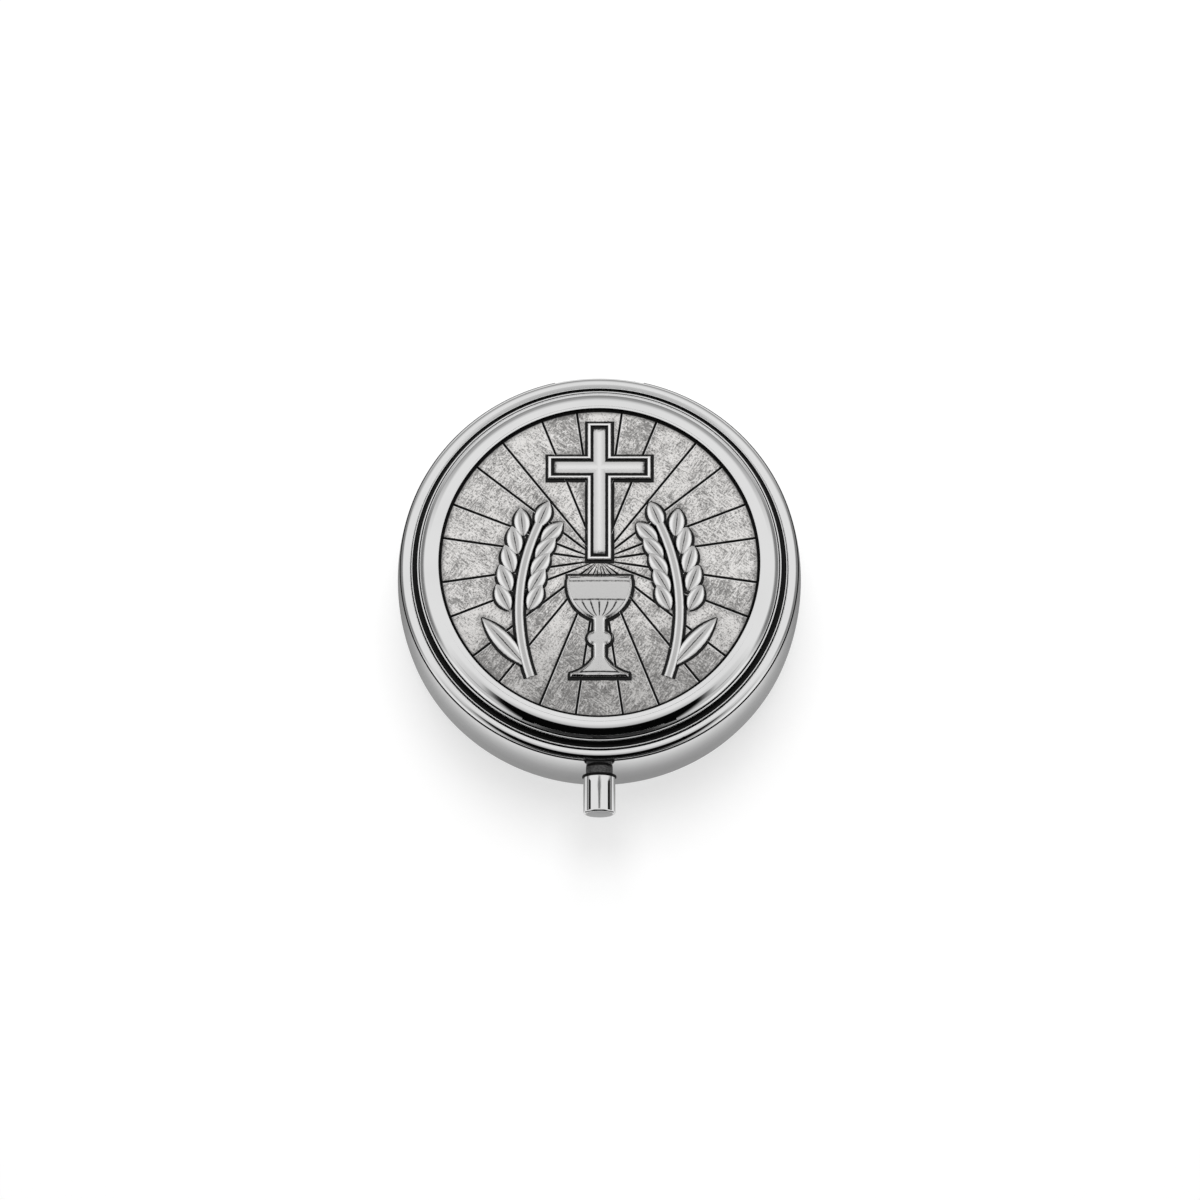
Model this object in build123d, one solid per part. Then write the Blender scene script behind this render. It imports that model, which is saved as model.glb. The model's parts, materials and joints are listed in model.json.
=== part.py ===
from build123d import *
import os
from math import cos, degrees, hypot, pi, radians, sin, sqrt

# A round pocket pyx: a drawn base and lid on a concealed sprung hinge, a push-button catch at the front,
# and a cast medallion that a turned bezel holds on the lid.
# Millimetres. The origin is the centre of the resting face, +Z is up and the button points to -Y.

# Base shell
body_radius = 25.0  # widest line of the bowed wall
bulge_height = 6.8  # height of that line
foot_draw = 0.12  # the wall draws in this much above the bottom corner
rim_draw = 0.45  # and this much at the seam
seam_height = 13.2  # top edge of the base
corner_radius = 2.8  # rounded bottom edge
sheet = 0.5  # drawn sheet of the base and the lid

# Base liner, a cup as wide as the pressed catch leaves room for
liner_wall = 0.4
liner_corner = 1.5  # rounded inner corner of the cup
mouth_round = 0.3  # rounded edge of the cup's mouth
deck_gap = 0.2  # deck under the lid's hinge leaf
deck_clearance = 0.1  # deck's edge to the wall

# Lid shell
seam_gap = 0.1  # hairline between base and lid
lid_inset = 0.05  # the lid's rim stands inside the base's rim
shoulder_rise = 0.7  # top of the shoulder above the lid's lower edge
shoulder_width = 1.45
shoulder_crown = 0.1  # the shoulder's top is slightly domed
rim_round = 0.42  # rounded outer edge of the shoulder
step_width = 0.2  # sloping step from the shoulder down to the groove
groove_floor = 0.15  # flat floor of the groove
groove_drop = 0.2  # groove below the plate
plate_rise = 0.55  # plate's top face above the lid's lower edge
ledge_width = 0.5  # slope from the plate down to the groove

# Bezel and medallion
ledge_rest = 0.05  # bezel's foot to the edge of the slope
bezel_width = 2.45
bezel_flank = 0.9  # width of the steep outer flank
flank_bow = 0.2  # the flank swells outwards
lip_width = 0.6  # bezel's lip over the medallion's edge
lip_height = 0.43  # bezel's inner edge above the medallion's ground
crest_rise = 0.2  # bezel's crest above its inner edge
medallion_thickness = 1.52
seat_clearance = 0.05  # between pieces that are soldered or pressed into curved seats
moat_width = 0.4  # sunk line round the ground
moat_depth = 0.35

# Rays, cut towards a point on the ground's centre line
ray_pairs = 12
ray_centre = 0.3  # above the medallion's centre
ray_half_angle = 8.36  # half of a wide ray
ray_start = 1.7  # grooves begin this far from their meeting point
ray_groove_width = 0.3
ray_groove_depth = 0.22

# Raised ornament
relief_height = 0.45
relief_bevel = 0.25  # width of its sloping edges
relief_margin = 0.3  # kept free inside the moat
cross_margin = 1.4  # top of the cross to the moat
cross_height = 17.66
cross_bar = 3.0  # width of its arms
cross_span = 12.74
cross_arm_drop = 4.27  # top of the cross to the top of its arms
cross_border = 0.5  # raised border of the cross
cross_recess = 0.3  # sunk line inside the border
cross_recess_depth = 0.36
chalice_top = 1.7  # rim of the chalice below the medallion's centre
chalice_height = 12.9
chalice_rim = 3.9  # half widths of its parts
chalice_belly = 3.3
chalice_stem = 0.75
chalice_knop = 1.5
chalice_flare = 1.6
chalice_foot = 3.6
chalice_bowl_depth = 5.6
chalice_belly_rise = 2.0  # belly above the bowl's lower end
chalice_knop_height = 1.8
chalice_foot_height = 2.6
chalice_hem = 0.55  # upright edge of the foot
wheat_margin = 9.7  # outermost line of the stalk to the moat
wheat_bow = 26.0  # radius that each stalk is bent to
wheat_bow_drop = 6.0  # that outermost line below the medallion's centre
wheat_low = 14.7  # foot of the stalk below the medallion's centre
wheat_ear_low = 6.0  # lowest grains below the medallion's centre
wheat_rows = 5  # pairs of grains
grain_pitch = 2.1
grain_length = 3.5
grain_width = 1.75
grain_tilt = 25.0
grain_offset = 1.0  # side grains from the stalk
tip_overlap = 0.7  # tip grain over the stalk's end
stalk_width = 1.0
leaf_length = 8.5
leaf_width = 2.0
leaf_tilt = 24.0
leaf_rise = 1.2  # leaf's lower tip above the stalk's foot

# Lid lining
lining_overlap = 0.3  # lining past the cup's inside
lining_thickness = 0.3
lining_edge = 0.12  # rounded lower edge

# Hinge
barrel_inset = 0.25  # barrel inside the base's rim
barrel_clearance = 0.25  # barrel under the lid's shoulder
knuckle_radius = 0.6
base_knuckle = 1.6  # length of each fixed knuckle
lid_knuckle = 1.3  # length of each moving knuckle
knuckle_gap = 0.1
pin_radius = 0.3
press_fit = 0.01  # radial room of pressed pieces
pin_running = 0.03  # pin in the moving knuckles
leaf_sheet = 0.4
lid_leaf_inset = 0.3  # moving leaf's foot inside the plate's edge
leaf_low_gap = 0.05  # moving leaf under the lid's groove
base_leaf_height = 1.8
base_leaf_drop = 0.1  # fixed leaf's plate below the notch
notch_margin = 1.0  # base notch past the barrel's ends
notch_clearance = 0.15  # lid's swinging rim to the notch
deck_notch_inset = 1.2  # deck notch inside the barrel
spring_wire = 0.2
spring_running = 0.07  # hinge spring round its pin
spring_turns = 3
spring_pitch = 0.77
spring_side = 0.25  # hinge spring to the knuckles beside it
spring_leg = 1.25  # fixed leg

# Push button
button_travel = 0.8
button_rim = 0.3  # ferrule's flange below the seam
cap_radius = 1.95
cap_length = 4.55
cap_wall = 0.23
cap_running = 0.07  # cap over the ferrule
cap_end = 0.8
cap_edge = 0.3  # rounded outer edge
washer_overhang = 0.15  # washer past the cap
washer_thickness = 0.3
washer_edge = 0.1  # rounded edges
ferrule_reach = 1.2  # ferrule inside the cap
flange_width = 0.35
flange_thickness = 0.5
sliding = 0.05  # stem in the ferrule, ferrule in the wall
stem_radius = 0.6
stem_socket = 0.4  # stem in the cap's end
stem_head_width = 0.35  # head past the stem
stem_head = 0.25
clip_width = 0.5  # clip past the stem
clip_thickness = 0.3
clip_gap = 0.02
button_wire = 0.25
button_turns = 3
coil_end_gap = 0.03

# Catch
tongue_sheet = 0.4
tongue_setback = 0.2  # tongue inside the edge of the lid's plate, at its corners
tongue_tip = 0.5  # tongue below its windows
fork_clearance = 0.7  # slot of the tongue round the stem
leg_edge = 0.45  # metal beside each window
hook_width = 0.7
hook_height = 0.55
hook_reach = 0.1  # hook past the tongue's outer face
hook_ramp = 0.3  # sloped top of the hook
window_clearance = 0.1
catch_sheet = 0.4
catch_gap = 0.1  # catch plate behind the tongue
catch_height = 2.0
catch_side = 0.25  # tongue and catch plate to the guide's cheeks
catch_stop_gap = 0.06  # pressed stem to the cup
guide_sheet = 0.4
guide_floor_gap = 0.2
guide_lead = 0.5  # guide in front of the tongue
guide_back_gap = 0.1  # guide to the cup
deck_slot_back = 0.3  # deck slot behind the tongue

# Case and lid
seam_radius = body_radius - rim_draw
foot_radius = body_radius - foot_draw
lid_radius = seam_radius - lid_inset
lid_bottom = seam_height + seam_gap
plate_top = lid_bottom + plate_rise
plate_bottom = plate_top - sheet
groove_height = plate_top - groove_drop
shoulder_top = lid_bottom + shoulder_rise
shoulder_edge = shoulder_top - shoulder_crown
shoulder_radius = lid_radius - shoulder_width
groove_outer = shoulder_radius - step_width
groove_inner = groove_outer - groove_floor
plate_radius = groove_inner - ledge_width
deck_top = plate_bottom - leaf_sheet - deck_gap
deck_bottom = deck_top - liner_wall
deck_radius = seam_radius - sheet - deck_clearance

# Bezel and medallion
bezel_foot = plate_radius - ledge_rest
bezel_inner = bezel_foot - bezel_width
medallion_radius = bezel_inner + lip_width
bezel_bore = medallion_radius + seat_clearance
ground = plate_top + medallion_thickness
bezel_edge = ground + lip_height
bezel_crest = bezel_edge + crest_rise
ground_radius = bezel_inner - moat_width
relief_top = ground + relief_height

# Hinge, from the middle of the barrel outwards
hinge_y = seam_radius - barrel_inset - knuckle_radius
hinge_z = shoulder_edge - sheet - barrel_clearance - knuckle_radius
coil_half = spring_turns * spring_pitch / 2
lid_knuckle_start = coil_half + spring_wire / 2 + spring_side
lid_knuckle_end = lid_knuckle_start + lid_knuckle
base_knuckle_start = lid_knuckle_end + knuckle_gap
hinge_half = base_knuckle_start + base_knuckle
rim_sweep = hypot(lid_radius - hinge_y, shoulder_edge - rim_round - hinge_z)
notch_bottom = hinge_z - rim_sweep - notch_clearance
notch_half = hinge_half + notch_margin
deck_notch = hinge_y - knuckle_radius - deck_notch_inset

# Button and catch, as distances from the case's axis towards -Y
cap_hollow = cap_radius - cap_wall
ferrule_radius = cap_hollow - cap_running
flange_radius = ferrule_radius + flange_width
button_z = seam_height - button_rim - flange_radius
washer_inner = body_radius + button_travel
cap_inner = washer_inner + washer_thickness
cap_outer = cap_inner + cap_length
cap_bottom = cap_outer - cap_end
ferrule_outer = cap_inner + ferrule_reach
flange_inner = seam_radius - sheet - flange_thickness
fork_half = stem_radius + fork_clearance
hook_start = fork_half + leg_edge
hook_end = hook_start + hook_width
tongue_half = hook_end + leg_edge
tongue_outer = sqrt((plate_radius - tongue_setback) ** 2 - tongue_half**2)
tongue_inner = tongue_outer - tongue_sheet
catch_outer = tongue_inner - catch_gap
catch_inner = catch_outer - catch_sheet
stem_inner = catch_inner - stem_head
hook_outer = tongue_outer + hook_reach
hook_bottom = button_z - hook_height / 2
tongue_bottom = hook_bottom - window_clearance - tongue_tip
guide_half = tongue_half + catch_side
guide_floor = button_z - catch_height / 2 - guide_floor_gap
liner_outside = stem_inner - button_travel - catch_stop_gap
liner_radius = liner_outside - liner_wall
lining_radius = liner_radius + lining_overlap

MIDDLE = (Align.CENTER, Align.CENTER, Align.CENTER)
STANDING = (Align.CENTER, Align.CENTER, Align.MIN)


def turned(outline):
    """Solid of revolution about Z from a closed outline in radius and height."""
    return revolve(make_face(Plane.XZ * outline), Axis.Z)


def along_button(solid):
    """Turn a piece made along +Z so that its height is the distance towards -Y on the button's axis."""
    return Pos(0, 0, button_z) * Rot(90, 0, 0) * solid


def rod(radius, start, end):
    """Cylinder on Z from one height to another."""
    return Pos(0, 0, start) * Cylinder(radius, end - start, align=STANDING)


def across(radius, start, end):
    """Cylinder on the hinge axis from one X to another."""
    return Pos(start, hinge_y, hinge_z) * Rot(0, 90, 0) * Cylinder(radius, end - start, align=STANDING)


def block(x, y, z):
    """Box between two values on each axis."""
    size = (x[1] - x[0], y[1] - y[0], z[1] - z[0])
    return Pos(sum(x) / 2, sum(y) / 2, sum(z) / 2) * Box(*size, align=MIDDLE)


def strip(outline, half_width):
    """Sheet-metal piece: a closed outline in Y and Z, extruded evenly to both sides of X = 0."""
    return extrude(make_face(Plane.YZ * outline), half_width, both=True)


def quarter(start, end, centre):
    """Round corner from start to end about a centre, the short way."""
    middle = (Vector(*start) + Vector(*end)) * 0.5 - Vector(*centre)
    reach = (Vector(*start) - Vector(*centre)).length
    point = Vector(*centre) + middle.normalized() * reach
    return ThreePointArc(start, (point.X, point.Y), end)


def case_form(inset):
    """The base's outside drawn in by an inset: flat bottom, rounded corner and bowed wall up to the seam."""
    low = (foot_radius - corner_radius, inset)
    side = (foot_radius - inset, corner_radius)
    rim = (seam_radius - inset, seam_height)
    outline = Line((0, inset), low) + quarter(low, side, (low[0], corner_radius))
    outline += ThreePointArc(side, (body_radius - inset, bulge_height), rim)
    outline += Polyline(rim, (0, seam_height), (0, inset))
    return turned(outline)


def base_shell():
    """Drawn cup, with a hole for the ferrule in front and a notch for the hinge behind."""
    shell = case_form(0) - case_form(sheet)
    shell -= along_button(rod(ferrule_radius + sliding, flange_inner, body_radius + sheet))
    levels = (notch_bottom, seam_height + sheet)
    return shell - block((-notch_half, notch_half), (0, body_radius + sheet), levels)


def base_liner():
    """Inner cup with a deck that closes the space round it, slotted for the tongue and the hinge."""
    floor = sheet + liner_wall
    corner = liner_corner + liner_wall
    low, side = (liner_outside - corner, sheet), (liner_outside, sheet + corner)
    mouth, lip = (liner_radius + mouth_round, deck_top), (liner_radius, deck_top - mouth_round)
    high, inner = (liner_radius, floor + liner_corner), (liner_radius - liner_corner, floor)
    outline = Line((0, sheet), low) + quarter(low, side, (low[0], side[1]))
    outline += Polyline(side, (liner_outside, deck_bottom), (deck_radius, deck_bottom),
                        (deck_radius, deck_top), mouth)
    outline += quarter(mouth, lip, (mouth[0], lip[1]))
    outline += Line(lip, high) + quarter(high, inner, (inner[0], high[1]))
    outline += Polyline(inner, (0, floor), (0, sheet))
    levels = (deck_bottom - liner_wall, deck_top + liner_wall)
    hinge_gap = block((-notch_half, notch_half), (deck_notch, body_radius), levels)
    slot_back = deck_slot_back - tongue_inner
    tongue_gap = block((-guide_half, guide_half), (-body_radius, slot_back), levels)
    return turned(outline) - hinge_gap - tongue_gap


def lid_shell():
    """Drawn lid: a flat plate, a groove round it, a domed shoulder and a rounded rim."""
    dome = (lid_radius - rim_round, shoulder_edge)
    rim = (lid_radius, shoulder_edge - rim_round)
    middle = ((shoulder_radius + dome[0]) / 2, shoulder_top)
    inside = lid_radius - sheet
    under = shoulder_edge - sheet
    groove_under = groove_height - sheet
    outline = Polyline((0, plate_top), (plate_radius, plate_top), (groove_inner, groove_height),
                       (groove_outer, groove_height), (shoulder_radius, shoulder_edge))
    outline += ThreePointArc((shoulder_radius, shoulder_edge), middle, dome)
    outline += quarter(dome, rim, (dome[0], rim[1]))
    outline += Polyline(rim, (lid_radius, lid_bottom), (inside, lid_bottom), (inside, under),
                        (shoulder_radius + step_width, under), (groove_outer, groove_under),
                        (groove_inner, groove_under), (plate_radius, plate_bottom), (0, plate_bottom),
                        (0, plate_top))
    return turned(outline)


def lid_bezel():
    """Turned ring: a domed face, a swelling flank, and a lip over the medallion."""
    crest = (bezel_inner + (bezel_width - bezel_flank) / 2, bezel_crest)
    brow = (bezel_foot - bezel_flank, bezel_edge - crest_rise / 2)
    cheek = (bezel_foot - bezel_flank / 2 + flank_bow, (plate_top + brow[1]) / 2 + flank_bow)
    outline = ThreePointArc((bezel_inner, bezel_edge), crest, brow)
    outline += ThreePointArc(brow, cheek, (bezel_foot, plate_top))
    outline += Polyline((bezel_foot, plate_top), (bezel_bore, plate_top), (bezel_bore, ground),
                        (bezel_inner, ground), (bezel_inner, bezel_edge))
    return turned(outline)


def lens(length, width, inset):
    """Leaf shape along Y, two arcs that meet in points, drawn in by an inset."""
    low, high = (0, 2 * inset), (0, length - 2 * inset)
    side, middle = width / 2 - inset, length / 2
    return make_face(ThreePointArc(low, (side, middle), high) + ThreePointArc(high, (-side, middle), low))


def raised(shape, place=Pos(0, 0)):
    """Relief with sloping edges on the medallion's ground, from an outline that takes an inset."""
    foot = Pos(0, 0, ground) * place * shape(0)
    top = Pos(0, 0, relief_top) * place * shape(relief_bevel)
    return loft([foot.face(), top.face()], ruled=True)


def cross_sketch(inset):
    """Latin cross drawn in by an inset."""
    top = ground_radius - cross_margin - inset
    low = ground_radius - cross_margin - cross_height + inset
    half, arm = cross_bar / 2 - inset, cross_span / 2 - inset
    arm_top = ground_radius - cross_margin - cross_arm_drop - inset
    arm_low = arm_top - cross_bar + 2 * inset
    right = [(half, low), (half, arm_low), (arm, arm_low), (arm, arm_top), (half, arm_top), (half, top)]
    left = [(-x, y) for x, y in reversed(right)]
    return make_face(Polyline(*right, *left, close=True))


def chalice_sketch(inset):
    """Chalice in outline: bowl, knop on a stem, and a spreading foot, drawn in by an inset."""
    rim = -chalice_top - inset
    bowl = -chalice_top - chalice_bowl_depth
    ground_line = -chalice_top - chalice_height
    spread = ground_line + chalice_foot_height
    hem = ground_line + chalice_hem
    foot = ground_line + inset
    knop = (bowl + spread) / 2
    over, under = knop + chalice_knop_height / 2, knop - chalice_knop_height / 2
    sizes = (chalice_rim, chalice_belly, chalice_stem, chalice_knop, chalice_flare, chalice_foot)
    wide, belly, stem, ball, flare, base = (size - inset for size in sizes)

    def side(hand):
        edges = Polyline((0, foot), (hand * base, foot), (hand * base, hem))
        edges += ThreePointArc((hand * base, hem), (hand * flare, (hem + spread) / 2), (hand * stem, spread))
        edges += Line((hand * stem, spread), (hand * stem, under))
        edges += ThreePointArc((hand * stem, under), (hand * ball, knop), (hand * stem, over))
        edges += Line((hand * stem, over), (hand * stem, bowl))
        bulge = (hand * belly, bowl + chalice_belly_rise)
        edges += ThreePointArc((hand * stem, bowl), bulge, (hand * wide, rim))
        return edges + Line((hand * wide, rim), (0, rim))

    return make_face(side(1) + side(-1))


def ear_of_wheat():
    """Left ear of wheat: pairs of grains and a tip on a bent stalk, with one leaf."""
    bend = (wheat_bow - (ground_radius - wheat_margin), -wheat_bow_drop)
    tip = wheat_rows * grain_pitch - wheat_ear_low

    def station(height):
        """Place and heading on the bent stalk at a height."""
        turn = (height - bend[1]) / wheat_bow
        return bend[0] - wheat_bow * cos(turn), bend[1] + wheat_bow * sin(turn), -degrees(turn)

    def seat(height):
        x, y, heading = station(height)
        return Pos(x, y) * Rot(0, 0, heading)

    def grain(inset):
        return lens(grain_length, grain_width, inset)

    def leaf(inset):
        return lens(leaf_length, leaf_width, inset)

    def stalk(inset):
        half = stalk_width / 2 - inset
        low, high = inset - wheat_low, tip - inset
        stations = [station(level) for level in (low, (low + high) / 2, high)]
        left = [(x - cos(radians(a)) * half, y - sin(radians(a)) * half) for x, y, a in stations]
        right = [(x + cos(radians(a)) * half, y + sin(radians(a)) * half) for x, y, a in reversed(stations)]
        sides = ThreePointArc(*left) + ThreePointArc(*right)
        return make_face(sides + Line(left[2], right[0]) + Line(right[2], left[0]))

    solids = [raised(stalk), raised(grain, seat(tip - tip_overlap))]
    solids.append(raised(leaf, seat(leaf_rise - wheat_low) * Rot(0, 0, leaf_tilt)))
    for row in range(wheat_rows):
        for side in (-1, 1):
            spread = Pos(side * grain_offset, 0) * Rot(0, 0, -side * grain_tilt)
            solids.append(raised(grain, seat(row * grain_pitch - wheat_ear_low) * spread))
    return solids


def medallion():
    """Cast disc: a moat, engraved rays, a bordered cross, a chalice and two ears of wheat."""
    disc = rod(medallion_radius, plate_top, ground)
    disc -= rod(bezel_inner, ground - moat_depth, bezel_edge) - rod(ground_radius, plate_top, bezel_crest)
    vee = Polyline((-ray_groove_width / 2, 0), (0, -ray_groove_depth), (ray_groove_width / 2, 0), close=True)
    groove = extrude(make_face(Plane.YZ * vee), 2 * ground_radius, dir=(1, 0, 0))
    angles = [360 / ray_pairs * i + side * ray_half_angle for i in range(ray_pairs) for side in (-1, 1)]
    meeting = Pos(0, ray_centre, ground)
    rays = Part() + [meeting * Rot(0, 0, angle) * Pos(ray_start, 0, 0) * groove for angle in angles]
    disc -= rays & rod(bezel_inner, plate_top, bezel_crest)
    border = cross_sketch(cross_border) - cross_sketch(cross_border + cross_recess)
    cross = raised(cross_sketch) - extrude(Pos(0, 0, relief_top) * border, -cross_recess_depth)
    wheat = ear_of_wheat()
    wheat += [mirror(shape, Plane.YZ) for shape in wheat]
    relief = Part() + wheat + [raised(chalice_sketch), cross]
    return disc + (relief & rod(ground_radius - relief_margin, plate_top, bezel_crest))


def lid_lining():
    """Plain disc under the lid's plate, over the cup."""
    disc = rod(lining_radius, plate_bottom - lining_thickness, plate_bottom)
    return fillet(disc.edges().sort_by(Axis.Z)[0], lining_edge)


def hinge_lid_leaf():
    """Moving leaf: a soldered foot, a bend under the lid's groove and two knuckles."""
    foot_start = lining_radius + seat_clearance
    foot_end = sqrt((plate_radius - lid_leaf_inset) ** 2 - lid_knuckle_end**2)
    foot_under = plate_bottom - leaf_sheet
    low = groove_height - sheet - leaf_low_gap
    low_under = low - leaf_sheet
    bend = foot_end + leaf_sheet
    outline = Polyline((foot_start, plate_bottom), (foot_end, plate_bottom), (bend, low), (hinge_y, low),
                       (hinge_y, low_under), (bend, low_under), (foot_end, foot_under),
                       (foot_start, foot_under), close=True)
    between = (-lid_knuckle_start, lid_knuckle_start)
    spring_gap = block(between, (bend, hinge_y + sheet), (deck_bottom, shoulder_top))
    leaf = strip(outline, lid_knuckle_end) - spring_gap
    for side in (-1, 1):
        leaf += across(knuckle_radius, *sorted((side * lid_knuckle_start, side * lid_knuckle_end)))
    return leaf - across(pin_radius + pin_running, -hinge_half, hinge_half)


def hinge_base_leaf():
    """Fixed leaf: a plate bent to the wall below the notch, and two tabs that carry knuckles."""
    top = notch_bottom - base_leaf_drop
    wall_side = case_form(sheet + seat_clearance)
    leaf = wall_side - case_form(sheet + seat_clearance + leaf_sheet)
    leaf &= block((-hinge_half, hinge_half), (0, body_radius), (top - base_leaf_height, top))
    tab_outer = sqrt((seam_radius - sheet) ** 2 - base_knuckle_start**2) - seat_clearance
    for side in (-1, 1):
        ends = sorted((side * base_knuckle_start, side * hinge_half))
        tab = block(ends, (hinge_y - leaf_sheet, tab_outer), (top - base_leaf_height / 2, hinge_z))
        leaf += (tab & wall_side) + across(knuckle_radius, *ends)
    return leaf - across(pin_radius + press_fit, -hinge_half, hinge_half)


def hinge_pin():
    """Pin through the four knuckles."""
    return across(pin_radius, -hinge_half, hinge_half)


def biarc(start, heading, end, end_heading):
    """Two tangent arcs from one point and heading to another."""
    span = end - start
    both = heading + end_heading
    square = 2 * (heading.dot(end_heading) - 1)
    linear = -2 * span.dot(both)
    length = span.dot(span)
    if abs(square) < 1e-9:
        reach = -length / linear
    else:
        reach = (-linear - sqrt(linear**2 - 4 * square * length)) / (2 * square)
    joint = (start + heading * reach + end - end_heading * reach) * 0.5
    turn = ((end - end_heading * reach) - (start + heading * reach)).normalized()
    return TangentArc(start, joint, tangent=heading) + TangentArc(joint, end, tangent=turn)


def coil(name, radius, pitch, turns, wire, first_leg, last_leg):
    """Wire wound about Z in quarter turns of two arcs each, with a straight leg at both ends."""
    climb = pitch / (2 * pi)
    slope = hypot(radius, climb)

    def point(angle):
        return Vector(radius * cos(angle), radius * sin(angle), climb * angle)

    def heading(angle):
        return Vector(-radius * sin(angle), radius * cos(angle), climb) * (1 / slope)

    stations = [i * pi / 2 for i in range(4 * turns + 1)]
    path = Line(point(0) - heading(0) * first_leg, point(0))
    for start, end in zip(stations, stations[1:]):
        path += biarc(point(start), heading(start), point(end), heading(end))
    last = stations[-1]
    path += Line(point(last), point(last) + heading(last) * last_leg)
    steps = 24 * turns
    points = [point(last * i / steps) for i in range(steps + 1)]
    gaps = [(a - b).length for i, a in enumerate(points) for b in points[i + 12:]]
    print(name, "least gap to itself", round(min(gaps) - wire, 3))
    section = Plane(point(0) - heading(0) * first_leg, z_dir=heading(0)) * Circle(wire / 2)
    return sweep(section, path=path)


def hinge_spring():
    """Torsion spring round the pin, one leg down against the fixed leaf and one up under the lid."""
    radius = pin_radius + spring_running + spring_wire / 2
    lid_leg = groove_height - sheet - leaf_low_gap - hinge_z
    wound = coil("hinge_spring", radius, spring_pitch, spring_turns, spring_wire, spring_leg, lid_leg)
    return Plane(origin=(coil_half, hinge_y, hinge_z), x_dir=(0, -1, 0), z_dir=(-1, 0, 0)) * wound


def button_cap():
    """Hollow cap with a rounded edge and a socket for the stem."""
    brow, side = (cap_radius - cap_edge, cap_outer), (cap_radius, cap_outer - cap_edge)
    socket, socket_end = stem_radius + press_fit, cap_bottom + stem_socket
    outline = Polyline((0, socket_end), (0, cap_outer), brow) + quarter(brow, side, (brow[0], side[1]))
    outline += Polyline(side, (cap_radius, cap_inner), (cap_hollow, cap_inner), (cap_hollow, cap_bottom),
                        (socket, cap_bottom), (socket, socket_end), (0, socket_end))
    return along_button(turned(outline))


def button_washer():
    """Ring against the cap's open end, free on the ferrule."""
    radius = cap_radius + washer_overhang
    ring = rod(radius, washer_inner, cap_inner) - rod(cap_hollow, washer_inner, cap_inner)
    outer_edges = ring.edges().filter_by(GeomType.CIRCLE).sort_by(SortBy.RADIUS)[-2:]
    return along_button(fillet(outer_edges, washer_edge))


def button_ferrule():
    """Guide tube through the wall, with a flange that is bedded against the wall's inside."""
    tube = along_button(rod(ferrule_radius, flange_inner, ferrule_outer))
    tube += along_button(rod(flange_radius, flange_inner, body_radius)) & case_form(sheet + seat_clearance)
    return tube - along_button(rod(stem_radius + sliding, stem_inner, cap_outer))


def button_stem():
    """Rod from the cap's socket to a riveted head behind the catch plate."""
    stem = rod(stem_radius, stem_inner, cap_bottom + stem_socket)
    return along_button(stem + rod(stem_radius + stem_head_width, stem_inner, catch_inner))


def stem_clip():
    """Retaining ring that stops the stem against the ferrule's flange."""
    outer = flange_inner - clip_gap
    inner = outer - clip_thickness
    ring = rod(stem_radius + clip_width, inner, outer) - rod(stem_radius + press_fit, inner, outer)
    return along_button(ring)


def button_spring():
    """Compression spring between the ferrule's end and the cap's end."""
    room = cap_bottom - ferrule_outer - 2 * coil_end_gap - button_wire
    radius = (stem_radius + cap_hollow) / 2
    pitch = room / button_turns
    wound = coil("button_spring", radius, pitch, button_turns, button_wire, button_wire, button_wire)
    return along_button(Pos(0, 0, ferrule_outer + coil_end_gap + button_wire / 2) * wound)


def lid_tongue():
    """Forked strap under the lid, with a window in each leg for a hook."""
    foot_end = lining_radius + seat_clearance
    foot_under = plate_bottom - tongue_sheet
    outline = Polyline((-tongue_outer, plate_bottom), (-foot_end, plate_bottom), (-foot_end, foot_under),
                       (-tongue_inner, foot_under), (-tongue_inner, tongue_bottom),
                       (-tongue_outer, tongue_bottom), close=True)
    through = (-tongue_outer - sheet, -tongue_inner + sheet)
    slot = block((-fork_half, fork_half), through, (tongue_bottom - sheet, button_z + fork_half))
    tongue = strip(outline, tongue_half) - slot
    levels = (hook_bottom - window_clearance, hook_bottom + hook_height + window_clearance)
    for side in (-1, 1):
        window = sorted((side * (hook_start - window_clearance), side * (hook_end + window_clearance)))
        tongue -= block(window, through, levels)
    return tongue


def catch_plate():
    """Plate on the stem, with two hooks that are flat below and sloped above."""
    levels = (button_z - catch_height / 2, button_z + catch_height / 2)
    plate = block((-tongue_half, tongue_half), (-catch_outer, -catch_inner), levels)
    hook_top = hook_bottom + hook_height
    outline = Polyline((-catch_outer, hook_bottom), (-hook_outer, hook_bottom),
                       (-hook_outer, hook_top - hook_ramp), (-catch_outer, hook_top), close=True)
    hook = extrude(make_face(Plane.YZ * outline), hook_width, dir=(1, 0, 0))
    plate += [Pos(hook_start, 0, 0) * hook, Pos(-hook_end, 0, 0) * hook]
    return plate - along_button(rod(stem_radius + press_fit, stem_inner, hook_outer))


def catch_guide():
    """Channel under the deck, round the catch plate and the tongue."""
    run = (-tongue_outer - guide_lead, -liner_outside - guide_back_gap)
    outside = guide_half + guide_sheet
    channel = block((-outside, outside), run, (guide_floor - guide_sheet, deck_bottom))
    return channel - block((-guide_half, guide_half), run, (guide_floor, deck_bottom))


def main():
    pieces = (base_shell, base_liner, lid_shell, lid_bezel, medallion, lid_lining, hinge_base_leaf,
              hinge_lid_leaf, hinge_pin, hinge_spring, button_cap, button_washer, button_ferrule, button_stem,
              stem_clip, button_spring, lid_tongue, catch_plate, catch_guide)
    os.makedirs("parts", exist_ok=True)
    for piece in pieces:
        export_step(piece(), f"parts/{piece.__name__}.step")


main()
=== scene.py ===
import json
import math

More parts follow.
